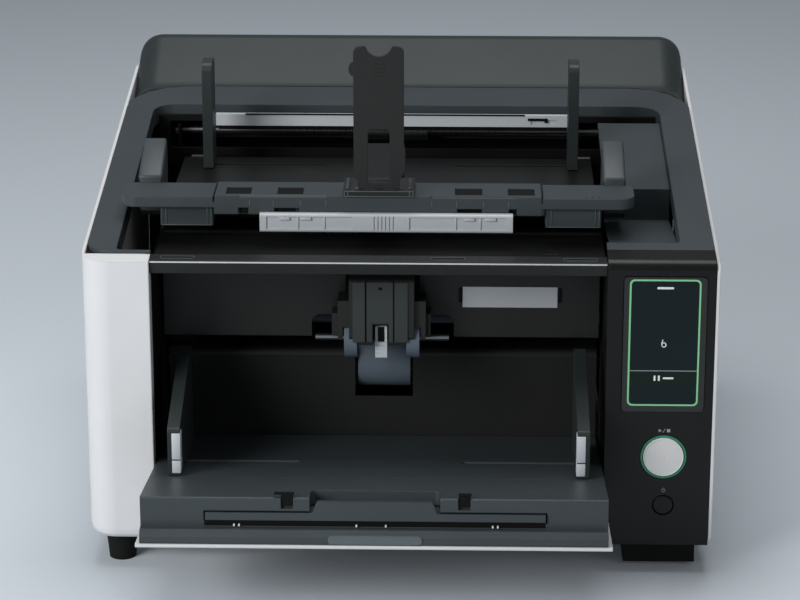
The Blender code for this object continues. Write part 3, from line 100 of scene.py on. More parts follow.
# low and high are the two tones, patch the size in mm of their soft clouds (60 if not given), grain the
# texture's pitch in mm, edge the radius in mm of the moulded edges. The real texture's pitch is 0.3 mm,
# too fine to show, so it is drawn at about 1 mm.
finishes = {
    # pale covers: even, with soft wide highlights on their corners
    "moulded ABS, light grey": {"low": "#d2d2d3", "high": "#dcdcdd", "rough": 0.48, "grain": 0.9,
                                "bump": 0.10, "edge": 1.6},
    # blue-grey top frame and hopper: a dull sheen on the edges that face the light
    "moulded ABS, slate": {"low": "#363c3f", "high": "#3e4547", "specular": 0.35, "rough": 0.42,
                           "grain": 0.9, "bump": 0.14, "edge": 1.2},
    # greener and darker: sets the rear cover and the guides off from the frame
    "moulded ABS, dark slate": {"low": "#272d2d", "high": "#2f3535", "specular": 0.30, "rough": 0.40,
                                "grain": 0.9, "bump": 0.12, "edge": 0.9},
    # neutral dark walls that keep a faint grain in the bay's shade
    "moulded ABS, charcoal": {"low": "#1f201f", "high": "#252625", "specular": 0.30, "rough": 0.42,
                              "grain": 0.9, "bump": 0.12, "edge": 0.6},
    # nearly black and smoother: a long soft reflection down the control panel
    "moulded ABS, panel black": {"low": "#0c0d0c", "high": "#111211", "specular": 0.28, "rough": 0.36,
                                 "grain": 0.8, "bump": 0.06, "edge": 0.9},
    # dull black: the black inner parts' own colour, and painted shade that makes openings and hollows read as
    # depth
    "moulded ABS, inner black and painted hollow shade": {"low": "#080808", "high": "#0d0d0c", "specular": 0.15, "rough": 0.62,
                                 "grain": 1.0, "bump": 0.10, "edge": 0.5},
    # the pick unit's cover, a little lighter than the wall behind it
    "moulded ABS, housing": {"low": "#2e3333", "high": "#353a3a", "specular": 0.35, "rough": 0.42,
                             "grain": 0.9, "bump": 0.12, "edge": 0.5},
    # fine-grained light grey: the handle and its tabs catch the light
    "moulded ABS, handle grey": {"low": "#b0b5b9", "high": "#bcc0c4", "rough": 0.40, "grain": 0.7,
                                 "bump": 0.05, "edge": 0.4},
    # hard glossy window over the screen, with a clear second highlight
    "smoked acrylic": {"low": "#1b1d1c", "high": "#1f2120", "specular": 0.35, "rough": 0.22, "grain": 2.0,
                       "bump": 0.0, "coat": 0.3, "edge": 0.4},
    # smooth sprayed paint: bright thin lines on the brush holder and sensor lever, and along the lip's front
    # edge a painted highlight
    "silver lacquer and painted edge highlight": {"low": "#b7bcbf", "high": "#c3c8cb", "rough": 0.30, "grain": 0.6, "bump": 0.03,
                       "edge": 0.3},
    # mid slate: painted highlight on thin rims, seams and grips, which picks grips and slots out of their
    # surroundings
    "moulded ABS, slate with painted edge highlight": {"low": "#50585b", "high": "#5a6265", "rough": 0.42, "grain": 0.9,
                                "bump": 0.10, "edge": 0.6},
    # matt blue-grey rubber, ribbed across the roller
    "feed roller rubber": {"low": "#4a5560", "high": "#5d6a77", "rough": 0.72, "grain": 0.8, "bump": 0.5,
                           "patch": 14, "edge": 0.5, "stretch": (0.25, 1, 1)},
    # matt black rubber that hardly reflects
    "foot rubber": {"low": "#0c0c0c", "high": "#111110", "specular": 0.2, "rough": 0.75, "grain": 1.0,
                    "bump": 0.2, "edge": 0.8},
    # bare shafts: fine rings round the metal, so that the highlight is a streak
    "ground steel": {"low": "#8f9295", "high": "#a3a6a8", "rough": 0.32, "grain": 0.5, "bump": 0.05,
                     "metallic": 1.0, "edge": 0.3, "stretch": (12, 1, 1)},
    # spangled pale metal of the hidden sheet parts
    "zinc plated sheet": {"low": "#8f9190", "high": "#b0b2af", "rough": 0.38, "grain": 1.2, "bump": 0.05,
                          "metallic": 1.0, "patch": 22, "edge": 0.3},
    # pale cap with level brush marks
    "brushed button": {"low": "#d2d1d0", "high": "#d9d8d7", "rough": 0.40, "grain": 0.5, "bump": 0.02,
                       "edge": 0.4, "stretch": (1, 1, 14)},
    # clear plastic ring with a glossy skin
    "light pipe, green": {"low": "#0d6f49", "high": "#17845c", "rough": 0.20, "grain": 1.5, "bump": 0.0,
                          "coat": 0.5, "edge": 0.3},
    # dark green boards, slightly uneven
    "solder mask, green": {"low": "#0d3a1c", "high": "#124a25", "rough": 0.35, "grain": 1.5, "bump": 0.2,
                           "edge": 0.2},
    # paler pads on the hopper guides' ends
    "moulded ABS, pad grey": {"low": "#bcc2c7", "high": "#c8cdd1", "rough": 0.45, "grain": 1.0,
                              "bump": 0.03, "edge": 0.4},
    # flat printed label with no gloss
    "printed card": {"low": "#aeb3b8", "high": "#b8bcc0", "rough": 0.50, "grain": 1.0, "bump": 0.02,
                     "edge": 0.1},
    # the screen's dark ground, its button bar and its lines: flat inks behind the window
    "screen field": {"low": "#0c191c", "high": "#0f1d20", "specular": 0.20, "rough": 0.30, "grain": 2.0,
                     "bump": 0.0, "edge": 0.1},
    "screen bar": {"low": "#0d1c14", "high": "#0f1f16", "specular": 0.20, "rough": 0.30, "grain": 2.0,
                   "bump": 0.0, "edge": 0.1},
    "screen line, green": {"low": "#79c88b", "high": "#8ed19c", "rough": 0.30, "grain": 2.0, "bump": 0.0,
                           "edge": 0.1},
    # opaque print inks
    "print, white": {"low": "#dfe3e2", "high": "#e8ebea", "rough": 0.45, "grain": 2.0, "bump": 0.0,
                     "edge": 0.1},
    "print, grey": {"low": "#8d9190", "high": "#959998", "rough": 0.45, "grain": 2.0, "bump": 0.0,
                    "edge": 0.1},
}
made = {name: surface(name, values) for name, values in finishes.items()}

nodeFinish = {
    "moulded ABS, light grey": ("left_side_cover", "right_side_cover", "hopper_skin"),
    "moulded ABS, slate": ("top_frame", "hopper_table", "hopper_flap", "hopper_extension", "stacker_beam",
                           "recess_tray"),
    "moulded ABS, dark slate": ("top_rear_cover", "stack_guide_left", "stack_guide_right",
                                "hopper_guide_left", "hopper_guide_right"),
    "moulded ABS, charcoal": ("rear_cover", "chute_wall", "lower_front_cover", "pick_arm", "feed_guide",
                              "turn_guide", "stopper_slider", "stopper_plate", "lip_bar"),
    "moulded ABS, panel black": ("stacker_bed", "control_panel_cover", "power_button", "lower_scan_unit",
                                 "upper_scan_unit", "power_inlet"),
    "moulded ABS, inner black and painted hollow shade": ("exit_wall", "bay_ceiling", "left_bay_liner", "right_bay_liner",
                                 "anti_static_brush", "left_side_frame", "right_side_frame"),
    "moulded ABS, handle grey": ("stacker_handle",),
    "smoked acrylic": ("display_unit",),
    "silver lacquer and painted edge highlight": ("brush_holder", "sensor_lever"),
    "brushed button": ("scan_button",),
    "feed roller rubber": ("feed_roller", "brake_roller", "pick_roller_left", "pick_roller_right"),
    "foot rubber": ("foot_front_left", "foot_front_right", "foot_rear_left", "foot_rear_right",
                    "transport_roller", "turn_roller"),
    "ground steel": ("exit_roller", "pick_shaft", "feed_motor"),
    "zinc plated sheet": ("base_pan", "power_supply"),
    "light pipe, green": ("scan_button_ring",),
    "solder mask, green": ("main_board", "button_board"),
    "printed card": ("label_plate",),
}
for finish, names in nodeFinish.items():
    for name in names:
        for slot in nodes[name].material_slots:
            slot.material = made[finish]
print("surfaces set:", len(made))


def keep(name, bm, finish, body):
    # turns a bmesh into a finished piece that rides on a body
    bmesh.ops.remove_doubles(bm, verts=bm.verts, dist=1e-6)
    bmesh.ops.recalc_face_normals(bm, faces=bm.faces)
    mesh = bpy.data.meshes.new(name)
    bm.to_mesh(mesh)
    bm.free()
    mesh.shade_smooth()
    mesh.set_sharp_from_angle(angle=math.radians(35))
    mesh.materials.append(made[finish])
    piece = bpy.data.objects.new(name, mesh)
    bpy.context.scene.collection.objects.link(piece)
    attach(piece, body)
    return piece


upright = Matrix.Rotation(math.radians(90), 4, "X")  # stands a piece made lying flat on its edge


def block(bm, low, high, fillet=0.0):
    low, high = Vector(low), Vector(high)
    place = Matrix.Translation((low + high) / 2) @ Matrix.Diagonal((*(high - low), 1.0))
    cube = bmesh.ops.create_cube(bm, size=1.0, matrix=place)
    if fillet:
        edges = list(dict.fromkeys(edge for vert in cube["verts"] for edge in vert.link_edges))
        bmesh.ops.bevel(bm, geom=edges, offset=fillet, segments=2, profile=0.5, affect="EDGES", material=-1)


def blocks(rows, fillet=0.0):
    bm = bmesh.new()
    for low, high in rows:
        block(bm, low, high, fillet)
    return bm


def tile(bm, left, low, right, high, front, back, corner=0.0):
    # flat upright plate facing the user, its corners rounded as seen from the front
    verts = bmesh.ops.create_grid(bm, x_segments=1, y_segments=1, size=0.5)["verts"]
    bmesh.ops.scale(bm, verts=verts, vec=(right - left, high - low, 1))
    bmesh.ops.rotate(bm, verts=verts, matrix=Matrix.Rotation(math.radians(90), 3, "X"))
    bmesh.ops.translate(bm, verts=verts, vec=((left + right) / 2, front, (low + high) / 2))
    faces = [verts[0].link_faces[0]]
    if corner:
        rounded = bmesh.ops.bevel(bm, geom=verts, offset=corner, segments=6, profile=0.5, affect="VERTICES",
                                  material=-1)
        faces = list(dict.fromkeys(face for vert in rounded["verts"] for face in vert.link_faces))
    grown = bmesh.ops.extrude_face_region(bm, geom=faces)
    bmesh.ops.translate(bm, verts=[v for v in grown["geom"] if isinstance(v, bmesh.types.BMVert)],
                        vec=(0, back - front, 0))


def rodAlong(bm, start, end, radius, sides):
    start, end = Vector(start), Vector(end)
    turn = (end - start).to_track_quat("Z", "Y").to_matrix().to_4x4()
    bmesh.ops.create_cone(bm, cap_ends=True, segments=sides, radius1=radius, radius2=radius,
                          depth=(end - start).length, matrix=Matrix.Translation((start + end) / 2) @ turn)


def chain(bm, points, radius, sides):
    for start, end in zip(points, points[1:]):
        rodAlong(bm, start, end, radius, sides)


def sheetOf(outline, hole, front, back):
    # flat outline with a hole, as a filled curve made into a mesh that stands upright
    curve = bpy.data.curves.new("outline", "CURVE")
    curve.dimensions = "2D"
    curve.fill_mode = "BOTH"
    curve.extrude = (back - front) / 2
    for points in (outline, hole):
        spline = curve.splines.new("POLY")
        spline.points.add(len(points) - 1)
        for index, (x, z) in enumerate(points):
            spline.points[index].co = (x, z, 0.0, 1.0)
        spline.use_cyclic_u = True
    guide = bpy.data.objects.new("outline", curve)
    bpy.context.scene.collection.objects.link(guide)
    mesh = bpy.data.meshes.new_from_object(guide.evaluated_get(bpy.context.evaluated_depsgraph_get()))
    bm = bmesh.new()
    bm.from_mesh(mesh)
    bpy.data.objects.remove(guide, do_unlink=True)
    bmesh.ops.rotate(bm, verts=bm.verts, matrix=Matrix.Rotation(math.radians(90), 3, "X"))
    bmesh.ops.translate(bm, verts=bm.verts, vec=(0, (front + back) / 2, 0))
    return bm


def arcOf(x, z, radius, start, end, steps=8):
    angles = [math.radians(start + (end - start) * step / steps) for step in range(steps + 1)]
    return [(x + radius * math.cos(a), z + radius * math.sin(a)) for a in angles]


def bodyOf(name):
    return next(body for body, held in frame["record"]["behaviour"]["bodies"].items() if name in held)


def rounder(name):
    # stands for a node with curved walls: the same shape, shaded as the smooth surface it is
    source = nodes[name]
    bm = bmesh.new()
    bm.from_mesh(source.data)
    bmesh.ops.remove_doubles(bm, verts=bm.verts, dist=1e-6)
    bmesh.ops.dissolve_limit(bm, angle_limit=math.radians(0.4), verts=bm.verts, edges=bm.edges)
    mesh = bpy.data.meshes.new(name + "_surface")
    bm.to_mesh(mesh)
    bm.free()
    mesh.shade_smooth()
    mesh.set_sharp_from_angle(angle=math.radians(24))
    mesh.materials.clear()
    mesh.materials.append(source.material_slots[0].material)
    piece = bpy.data.objects.new(name + "_surface", mesh)
    bpy.context.scene.collection.objects.link(piece)
    weighted = piece.modifiers.new("flat faces keep their shade", "WEIGHTED_NORMAL")
    weighted.keep_sharp = True
    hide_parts(name)
    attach(piece, bodyOf(name))


slotOf = {"left_side_cover": "light_grey", "right_side_cover": "light_grey", "top_rear_cover": "slate",
          "top_frame": "slate", "control_panel_cover": "black", "stacker_beam": "slate",
          "foot_front_left": "rubber", "foot_front_right": "rubber", "foot_rear_left": "rubber",
          "foot_rear_right": "rubber", "scan_button_ring": "green", "scan_button": "silver",
          "power_button": "black",
          "feed_roller": "roller", "brake_roller": "roller", "pick_roller_left": "roller",
          "pick_roller_right": "roller", "pick_shaft": "steel", "exit_roller": "rubber", "pick_arm": "dark",
          "hopper_guide_left": "slate", "hopper_guide_right": "slate", "stack_guide_left": "slate",
          "stack_guide_right": "slate", "hopper_skin": "light_grey"}
for name in slotOf:
    rounder(name)
print("curved covers done")

# ---- control panel
screen = {"left": 0.0039, "right": 0.0044, "low": 0.0046, "high": 0.0016, "line": 0.0013, "corner": 0.0036,
          "bar": (0.0208, 0.0312), "divider": 0.0316, "dividerHalf": 0.0003, "layer": 0.00008}
low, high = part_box("display_unit")
front = low[1]
left, right = low[0] + screen["left"], high[0] - screen["right"]
bottom, top = low[2] + screen["low"], high[2] - screen["high"]
middle = (left + right) / 2
innerLeft, innerRight = left + screen["line"], right - screen["line"]
barLow, barHigh = (low[2] + height for height in screen["bar"])
divider = low[2] + screen["divider"]
prints = (  # name, finish, slot, sides, layer in front of the window, depth sunk into it, corner radius
    ("screen_frame", "screen line, green", "green", (left, bottom, right, top), 1, 0.0001, screen["corner"]),
    ("screen_field", "screen field", "gloss_black",
     (innerLeft, bottom + screen["line"], innerRight, top - screen["line"]), 2, 0.0,
     screen["corner"] - screen["line"] * 0.6),
    ("screen_bar", "screen bar", "gloss_black", (innerLeft, barLow, innerRight, barHigh), 3, 0.0, 0.0),
    ("screen_divider", "print, grey", "handle_grey",
     (innerLeft, divider - screen["dividerHalf"], innerRight, divider + screen["dividerHalf"]), 3, 0.0, 0.0),
)
for name, finish, slot, sides, layer, sunk, corner in prints:
    bm = bmesh.new()
    tile(bm, *sides, front - layer * screen["layer"], front + sunk, corner)
    keep(name, bm, finish, "chassis")

barMiddle = (barLow + barHigh) / 2
marks = (  # centre, half size, corner: the pause sign, the bar that stands for its word, the title's bar
    ((middle - 0.0061, barMiddle), (0.0007, 0.0020), 0.0),
    ((middle - 0.0030, barMiddle), (0.0007, 0.0020), 0.0),
    ((middle + 0.0037, barMiddle), (0.0039, 0.0007), 0.0006),
    ((middle, top - 0.0064), (0.0060, 0.0008), 0.0007),
)
bm = bmesh.new()
for (x, z), (wide, tall), corner in marks:
    tile(bm, x - wide, z - tall, x + wide, z + tall, front - 4 * screen["layer"], front, corner)
six = {"z": low[2] + 0.0515, "radius": 0.0015, "tall": 1.1, "tail": 0.0042, "bend": 0.17, "proud": 0.0002,
       "stroke": 0.00042}  # the sheet count: a ring and the tail that curves up from its left side
angles = [math.tau * step / 16 for step in range(17)]
ring = [(six["radius"] * math.cos(a), six["radius"] * six["tall"] * math.sin(a)) for a in angles]
tail = [(-six["radius"] * math.cos(step * six["bend"]), six["tail"] * math.sin(step * six["bend"]))
        for step in range(8)]
for path in (ring, tail):
    chain(bm, [(middle + x, front - six["proud"], six["z"] + z) for x, z in path], six["stroke"], 8)
keep("screen_signs", bm, "print, white", "chassis")

icons = {"proud": 0.00005, "triangle": (-0.0032, 0.0036, 0.0015),
         "slash": ((-0.0009, 0.0022), (0.0009, 0.0050)), "slashStroke": 0.00022,
         "square": ((0.0020, 0.0024), (0.0044, 0.0048)), "ring": (0.0042, 0.0013),
         "bar": (0.0044, 0.0062), "stroke": 0.00020}
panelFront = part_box("control_panel_cover")[0][1]
iconFront = panelFront - icons["proud"]
scanLow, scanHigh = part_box("scan_button_ring")
powerLow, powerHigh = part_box("power_button")
scanX, scanTop = (scanLow[0] + scanHigh[0]) / 2, scanHigh[2]
powerX, powerTop = (powerLow[0] + powerHigh[0]) / 2, powerHigh[2]
bm = bmesh.new()
x, z, radius = icons["triangle"]
bmesh.ops.create_cone(bm, cap_ends=True, segments=3, radius1=radius, radius2=radius, depth=0.0002,
                      matrix=Matrix.Translation((scanX + x, iconFront, scanTop + z)) @ upright
                      @ Matrix.Rotation(math.radians(30), 4, "Z"))
chain(bm, [(scanX + x, iconFront, scanTop + z) for x, z in icons["slash"]], icons["slashStroke"], 8)
(x0, z0), (x1, z1) = icons["square"]
block(bm, (scanX + x0, panelFront - 0.00015, scanTop + z0), (scanX + x1, panelFront + 0.0001, scanTop + z1))
z, radius = icons["ring"]  # power sign: an open ring and a stroke
angles = [math.radians(120 + 30 * step) for step in range(11)]
chain(bm, [(powerX + radius * math.cos(a), iconFront, powerTop + z + radius * math.sin(a)) for a in angles],
      icons["stroke"], 6)
chain(bm, [(powerX, iconFront, powerTop + z) for z in icons["bar"]], icons["stroke"], 6)
keep("panel_signs", bm, "print, grey", "chassis")

button = {"dot": 0.00075, "dotProud": 0.0001, "rimInset": 0.0006, "rimSunk": 0.00035, "rimStroke": 0.00042}
low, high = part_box("scan_button")
scanZ = (low[2] + high[2]) / 2
rim = (high[0] - low[0]) / 2 - button["rimInset"]
bm = bmesh.new()
bmesh.ops.create_uvsphere(bm, u_segments=12, v_segments=8, radius=button["dot"],
                          matrix=Matrix.Translation((scanX, low[1] - button["dotProud"], scanZ)))
angles = [math.tau * step / 40 for step in range(41)]
rimFront = low[1] + button["rimSunk"]
chain(bm, [(scanX + rim * math.cos(a), rimFront, scanZ + rim * math.sin(a)) for a in angles],
      button["rimStroke"], 8)
keep("scan_button_dot", bm, "print, white", "scan_button")
print("control panel done")

# ---- lip over the hopper bay
lip = {"inset": 0.0004, "highlightBand": (0.0015, 0.0006), "slots": (-0.1600, 0.0350, 0.1300), "half": 0.0122,
       "depth": 0.0085, "wide": 0.0028, "rim": (0.0006, 0.0005)}
low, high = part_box("lip_bar")
# a silver strip along the lip's front top edge: painted highlight
rows = [((low[0] + lip["inset"], low[1] - lip["inset"], high[2] - lip["highlightBand"][0]),
         (high[0] - lip["inset"], low[1] + 0.0012, high[2] - lip["highlightBand"][1]))]
keep("lip_edge_highlight", blocks(rows, 0.0002), "silver lacquer and painted edge highlight", "chassis")

# ---- brush over the sheets' exit
brush = {"pitch": 0.0020, "radius": 0.00035, "long": 0.0058, "inset": 0.050, "depth": 0.0010, "sunk": 0.0004,
         "sway": 0.0006, "swayTurn": 2.4}
low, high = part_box("brush_holder")
bm = bmesh.new()
for step in range(int((high[0] - low[0] - 2 * brush["inset"]) / brush["pitch"]) + 1):
    x = low[0] + brush["inset"] + step * brush["pitch"] + brush["sway"] * math.sin(step * brush["swayTurn"])
    place = Matrix.Translation((x, low[1] + brush["depth"], low[2] - brush["long"] / 2 + brush["sunk"]))
    bmesh.ops.create_cone(bm, cap_ends=True, segments=5, radius1=brush["radius"] * 0.4,
                          radius2=brush["radius"], depth=brush["long"], matrix=place)
keep("brush_bristles", bm, "moulded ABS, inner black and painted hollow shade", "chassis")
holder = {"line": (0.024, 0.036), "slot": (0.0335, 0.0175, 0.0044, 0.0022),
          "leg": (0.0200, 0.0175, 0.0060, 0.0040)}
x0, x1 = holder["line"]
rows = [((low[0] + x0, low[1] - 0.0004, high[2] - 0.0005), (high[0] - x1, low[1] + 0.0010, high[2] + 0.0006))]
for x0, x1, z0, z1 in (holder["slot"], holder["leg"]):  # an L-shaped slot at the right end
    rows.append(((high[0] - x0, low[1] - 0.0003, high[2] - z0),
                 (high[0] - x1, low[1] + 0.0006, high[2] - z1)))
# black strips in the holder's top slot line and its L-shaped slot: painted shade for their depth
keep("brush_holder_slot_shade", blocks(rows), "moulded ABS, inner black and painted hollow shade", "chassis")

# ---- stacker handle
handle = {"tabs": (-0.0898, -0.0740, 0.0460, 0.0616), "tabSize": (0.0080, 0.0022), "tabDrop": 0.0048,
          "ribs": (-0.0765, -0.0570, 0.0395, 0.0575), "ribWide": 0.0012}
low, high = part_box("stacker_handle")
wide, tall = handle["tabSize"]
tabLow = high[2] - handle["tabDrop"]
rows = [((x, low[1] - 0.0004, tabLow), (x + wide, low[1] + 0.0012, tabLow + tall)) for x in handle["tabs"]]
rows += [((x, low[1] + 0.0001, low[2] + 0.0022), (x + handle["ribWide"], low[1] + 0.0012, high[2] - 0.0020))
         for x in handle["ribs"]]
keep("handle_tabs", blocks(rows, 0.0002), "moulded ABS, handle grey", "stacker_handle")

# ---- end stop: a plate with two ears, a finger notch and a window, on a toothed slider
plate = {"middle": -0.0165, "half": 0.0184, "waist": 0.0153, "ear": 0.0046, "notch": 0.0091, "lip": 0.0022,
         "neck": (0.2805, 0.2850), "cheek": (0.2890, 0.3050, 0.3090), "bulge": 0.0010,
         "window": (0.0080, 0.2796, 0.3200, 0.0014), "ribs": (0.3602, 0.3632, 0.3662, 0.3692),
         "knob": (0.3650, 0.0035, 0.0022)}
low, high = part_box("stopper_plate")
mid, top = plate["middle"], high[2]
leftEdge, rightEdge = mid - plate["half"], mid + plate["half"]
waistLeft, waistRight = mid - plate["waist"], mid + plate["waist"]
neckLow, neckHigh = plate["neck"]
outline = [(waistLeft, low[2]), (waistLeft, neckLow), (leftEdge, neckHigh)]
outline += arcOf(leftEdge + plate["ear"], top - 0.0050, plate["ear"], 180, 90)
outline += arcOf(mid - plate["notch"] - 0.0020, top - plate["lip"], plate["lip"], 90, 30, 4)
outline += arcOf(mid, top + 0.0020, 0.0098, 205, 335, 10)
outline += arcOf(mid + plate["notch"] + 0.0020, top - plate["lip"], plate["lip"], 150, 90, 4)
outline += arcOf(rightEdge - plate["ear"], top - 0.0050, plate["ear"], 90, 0)
cheekLow, cheekHigh, cheekTop = plate["cheek"]
bulge = rightEdge + plate["bulge"]
outline += [(rightEdge, cheekTop), (bulge, cheekHigh), (bulge, cheekLow), (waistRight, neckLow + 0.0015),
            (waistRight, low[2])]
half, sill, head, radius = plate["window"]
window = ([(mid - half, sill)] + arcOf(mid - half + radius, head - radius, radius, 180, 90, 4)
          + arcOf(mid + half - radius, head - radius, radius, 90, 0, 4) + [(mid + half, sill)])
bm = sheetOf(outline, window, low[1], high[1] - 0.0002)
for z in reversed(plate["ribs"]):
    block(bm, (mid - 0.0042, low[1] - 0.0001, z - 0.0004), (mid + 0.0042, low[1] + 0.0004, z + 0.0004))
z, radius, depth = plate["knob"]
bmesh.ops.create_cone(bm, cap_ends=True, segments=16, radius1=radius, radius2=radius, depth=depth,
                      matrix=Matrix.Translation((leftEdge, (low[1] + high[1]) / 2, z)) @ upright
                      @ Matrix.Diagonal((1, 1.5, 1, 1)))
stopperPlate = keep("stopper_plate_surface", bm, "moulded ABS, charcoal", "stopper_plate")
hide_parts("stopper_plate")

slider = {"teeth": 7, "toothPitch": 0.0040, "toothLong": 0.0020, "toothWide": 0.0030,
          "upright": (0.0004, 0.0030), "hooks": (0.0085, 0.0145)}
low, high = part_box("stopper_slider")
rows = []
for x in (low[0] + 0.0015, high[0] - 0.0015 - slider["toothWide"]):
    for tooth in range(slider["teeth"]):
        y = low[1] + 0.0050 + slider["toothPitch"] * tooth
        rows.append(((x, y, high[2] - 0.0004),
                     (x + slider["toothWide"], y + slider["toothLong"], high[2] + 0.0012)))
keep("slider_teeth", blocks(rows, 0.0003), "moulded ABS, slate", "stopper_slider")
# thin lighter slate rims round the slider's front and on its hooks: painted highlight along its edges
rows = [((low[0] + 0.0004, low[1] - 0.0003, z), (high[0] - 0.0004, low[1] + 0.0006, z + 0.0006))
        for z in (low[2] + 0.0002, high[2] - 0.0007)]
outer, inner = slider["upright"]
rows += [((x, low[1] - 0.0003, low[2] + 0.0002), (x + 0.0008, low[1] + 0.0006, high[2] - 0.0001))
         for x in (low[0] + outer, low[0] + inner, high[0] - inner - 0.0008, high[0] - outer - 0.0008)]
first, last = slider["hooks"]
rows += [((x, low[1] + 0.0060, high[2] - 0.0002), (x + 0.0060, low[1] + 0.0068, high[2] + 0.0008))
         for x in (low[0] + first, mid - 0.0030, high[0] - last)]
keep("slider_rim_highlights", blocks(rows, 0.0002), "moulded ABS, slate with painted edge highlight", "stopper_slider")

# ---- stacker's front beam and wings
beam = {"dots": (0.0360, 0.0310, 0.0260), "dotRadius": 0.0006, "dotTop": 0.26805,
        "windows": ((-0.1294, -0.1111), (-0.0914, -0.0726), (0.0396, 0.0594), (0.0786, 0.0979)),
        "pockets": ((-0.0925, -0.0780), (-0.1190, -0.1130), (0.0420, 0.0585), (0.0800, 0.0845)),
        "boxes": ((-0.1780, -0.1390), (0.1060, 0.1470)), "boxRibs": (0.0010, 0.0040), "rim": 0.0006,
        "seams": (-0.1120, -0.0944, -0.0745, -0.0557, 0.0222, 0.0404, 0.0600, 0.0784)}
low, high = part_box("stacker_beam")
bm = bmesh.new()
for x in beam["dots"]:
    place = Matrix.Translation((high[0] - x, low[1] + 0.0045, beam["dotTop"]))
    bmesh.ops.create_cone(bm, cap_ends=True, segments=12, radius1=beam["dotRadius"],
                          radius2=beam["dotRadius"], depth=0.0003, matrix=place)
keep("wing_dots", bm, "moulded ABS, inner black and painted hollow shade", "stacker")
# black blocks in the beam's windows and pockets: painted shade for their depth
rows = [((x0, low[1] + 0.0061, 0.2552), (x1, low[1] + 0.0239, 0.2684)) for x0, x1 in beam["windows"]]
rows += [((x0, low[1] + 0.0028, 0.2552), (x1, low[1] + 0.0034, 0.2610)) for x0, x1 in beam["pockets"]]
keep("beam_hollow_shade", blocks(rows), "moulded ABS, inner black and painted hollow shade", "stacker")
rows = []
for x0, x1 in beam["boxes"]:  # moulded rims down the two boxes under the wings
    outer, inner = beam["boxRibs"]
    for x in (x0 + outer, x0 + inner, x1 - inner - beam["rim"], x1 - outer - beam["rim"]):
        rows.append(((x, low[1] + 0.0034, 0.2456), (x + beam["rim"], low[1] + 0.0042, 0.2595)))
    rows.append(((x0 + outer, low[1] + 0.0034, 0.2452), (x1 - outer, low[1] + 0.0042, 0.2458)))
rows += [((x, low[1] - 0.0003, 0.2610), (x + 0.0007, low[1] + 0.0006, 0.2655)) for x in beam["seams"]]
# the box rims and seam lines are lighter slate: painted highlight along their edges
keep("beam_rim_highlights", blocks(rows, 0.0002), "moulded ABS, slate with painted edge highlight", "stacker")

# ---- end blocks of the stacker bed, each with a lower step at the front
low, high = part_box("stacker_bed")
ends = {"left": (low[0] - 0.0004, low[0] + 0.0174), "right": (high[0] - 0.0164, high[0] + 0.0004),
        "front": low[1] - 0.0002, "rear": -0.0093, "foot": 0.2450, "step": 0.2732, "top": 0.2914}
for side in ("left", "right"):
    bm = bmesh.new()
    x0, x1 = ends[side]
    block(bm, (x0, ends["front"], ends["foot"]), (x1, ends["rear"], ends["top"]))
    for vert in bm.verts:
        if vert.co.z > ends["step"] and vert.co.y < (ends["front"] + ends["rear"]) / 2:
            vert.co.z = ends["step"]
    bmesh.ops.bevel(bm, geom=bm.edges[:], offset=0.0018, segments=3, profile=0.5, affect="EDGES", material=-1)
    keep("end_block_" + side, bm, "moulded ABS, slate", "stacker")
print("stacker done")

# ---- hopper flap: signs, grip, and the notches and slot round the extension plate
flap = {"dots": (-0.1135, -0.1100, -0.0280, -0.0075, 0.0670, 0.0705), "grip": (-0.0470, 0.0185),
        "notches": (-0.0798, 0.0437), "recesses": (-0.1062, 0.0560), "slot": (-0.1338, 0.1043)}
bm = bmesh.new()
for x in flap["dots"]:
    block(bm, (x, -0.2648, 0.0804), (x + 0.0012, -0.2632, 0.0818))
keep("flap_dots", bm, "print, white", "hopper_flap")
bm = bmesh.new()
# the pill grip in the lighter slate: painted highlight on the grip
tile(bm, flap["grip"][0], 0.0709, flap["grip"][1], 0.0769, -0.2738, -0.2715, 0.0026)
keep("flap_grip", bm, "moulded ABS, slate with painted edge highlight", "hopper_flap")
# black blocks in the L notches, the recesses and the slot round the extension plate: painted shade for their
# depth
rows = [((x, -0.2618, 0.0948), (x + 0.0082, -0.2602, 0.1030)) for x in flap["notches"]]
rows += [((x - 0.0050 * (x < 0), -0.2628, 0.1034), (x + 0.0090, -0.2590, 0.1042)) for x in flap["notches"]]
rows += [((x, -0.2634, 0.0878), (x + 0.0200, -0.2626, 0.0892)) for x in flap["recesses"]]
rows.append(((flap["slot"][0], -0.2632, 0.0802), (flap["slot"][1], -0.2622, 0.0838)))
keep("flap_hollow_shade", blocks(rows), "moulded ABS, inner black and painted hollow shade", "hopper_flap")

# ---- two-part pads on the hopper guides' front ends
pads = {"heights": ((0.0930, 0.1026), (0.1034, 0.1235)), "proud": 0.0004, "wide": 0.0060, "deep": 0.0100}
for name, side in (("hopper_guide_left", 1), ("hopper_guide_right", -1)):
    low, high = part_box(name)
    inner = high[0] if side > 0 else low[0]
    x0, x1 = sorted((inner + side * pads["proud"], inner - side * pads["wide"]))
    rows = [((x0, low[1] - pads["proud"], z0), (x1, low[1] + pads["deep"], z1)) for z0, z1 in pads["heights"]]
    keep(name + "_pad", blocks(rows, 0.0005), "moulded ABS, pad grey", name)
print("hopper done")

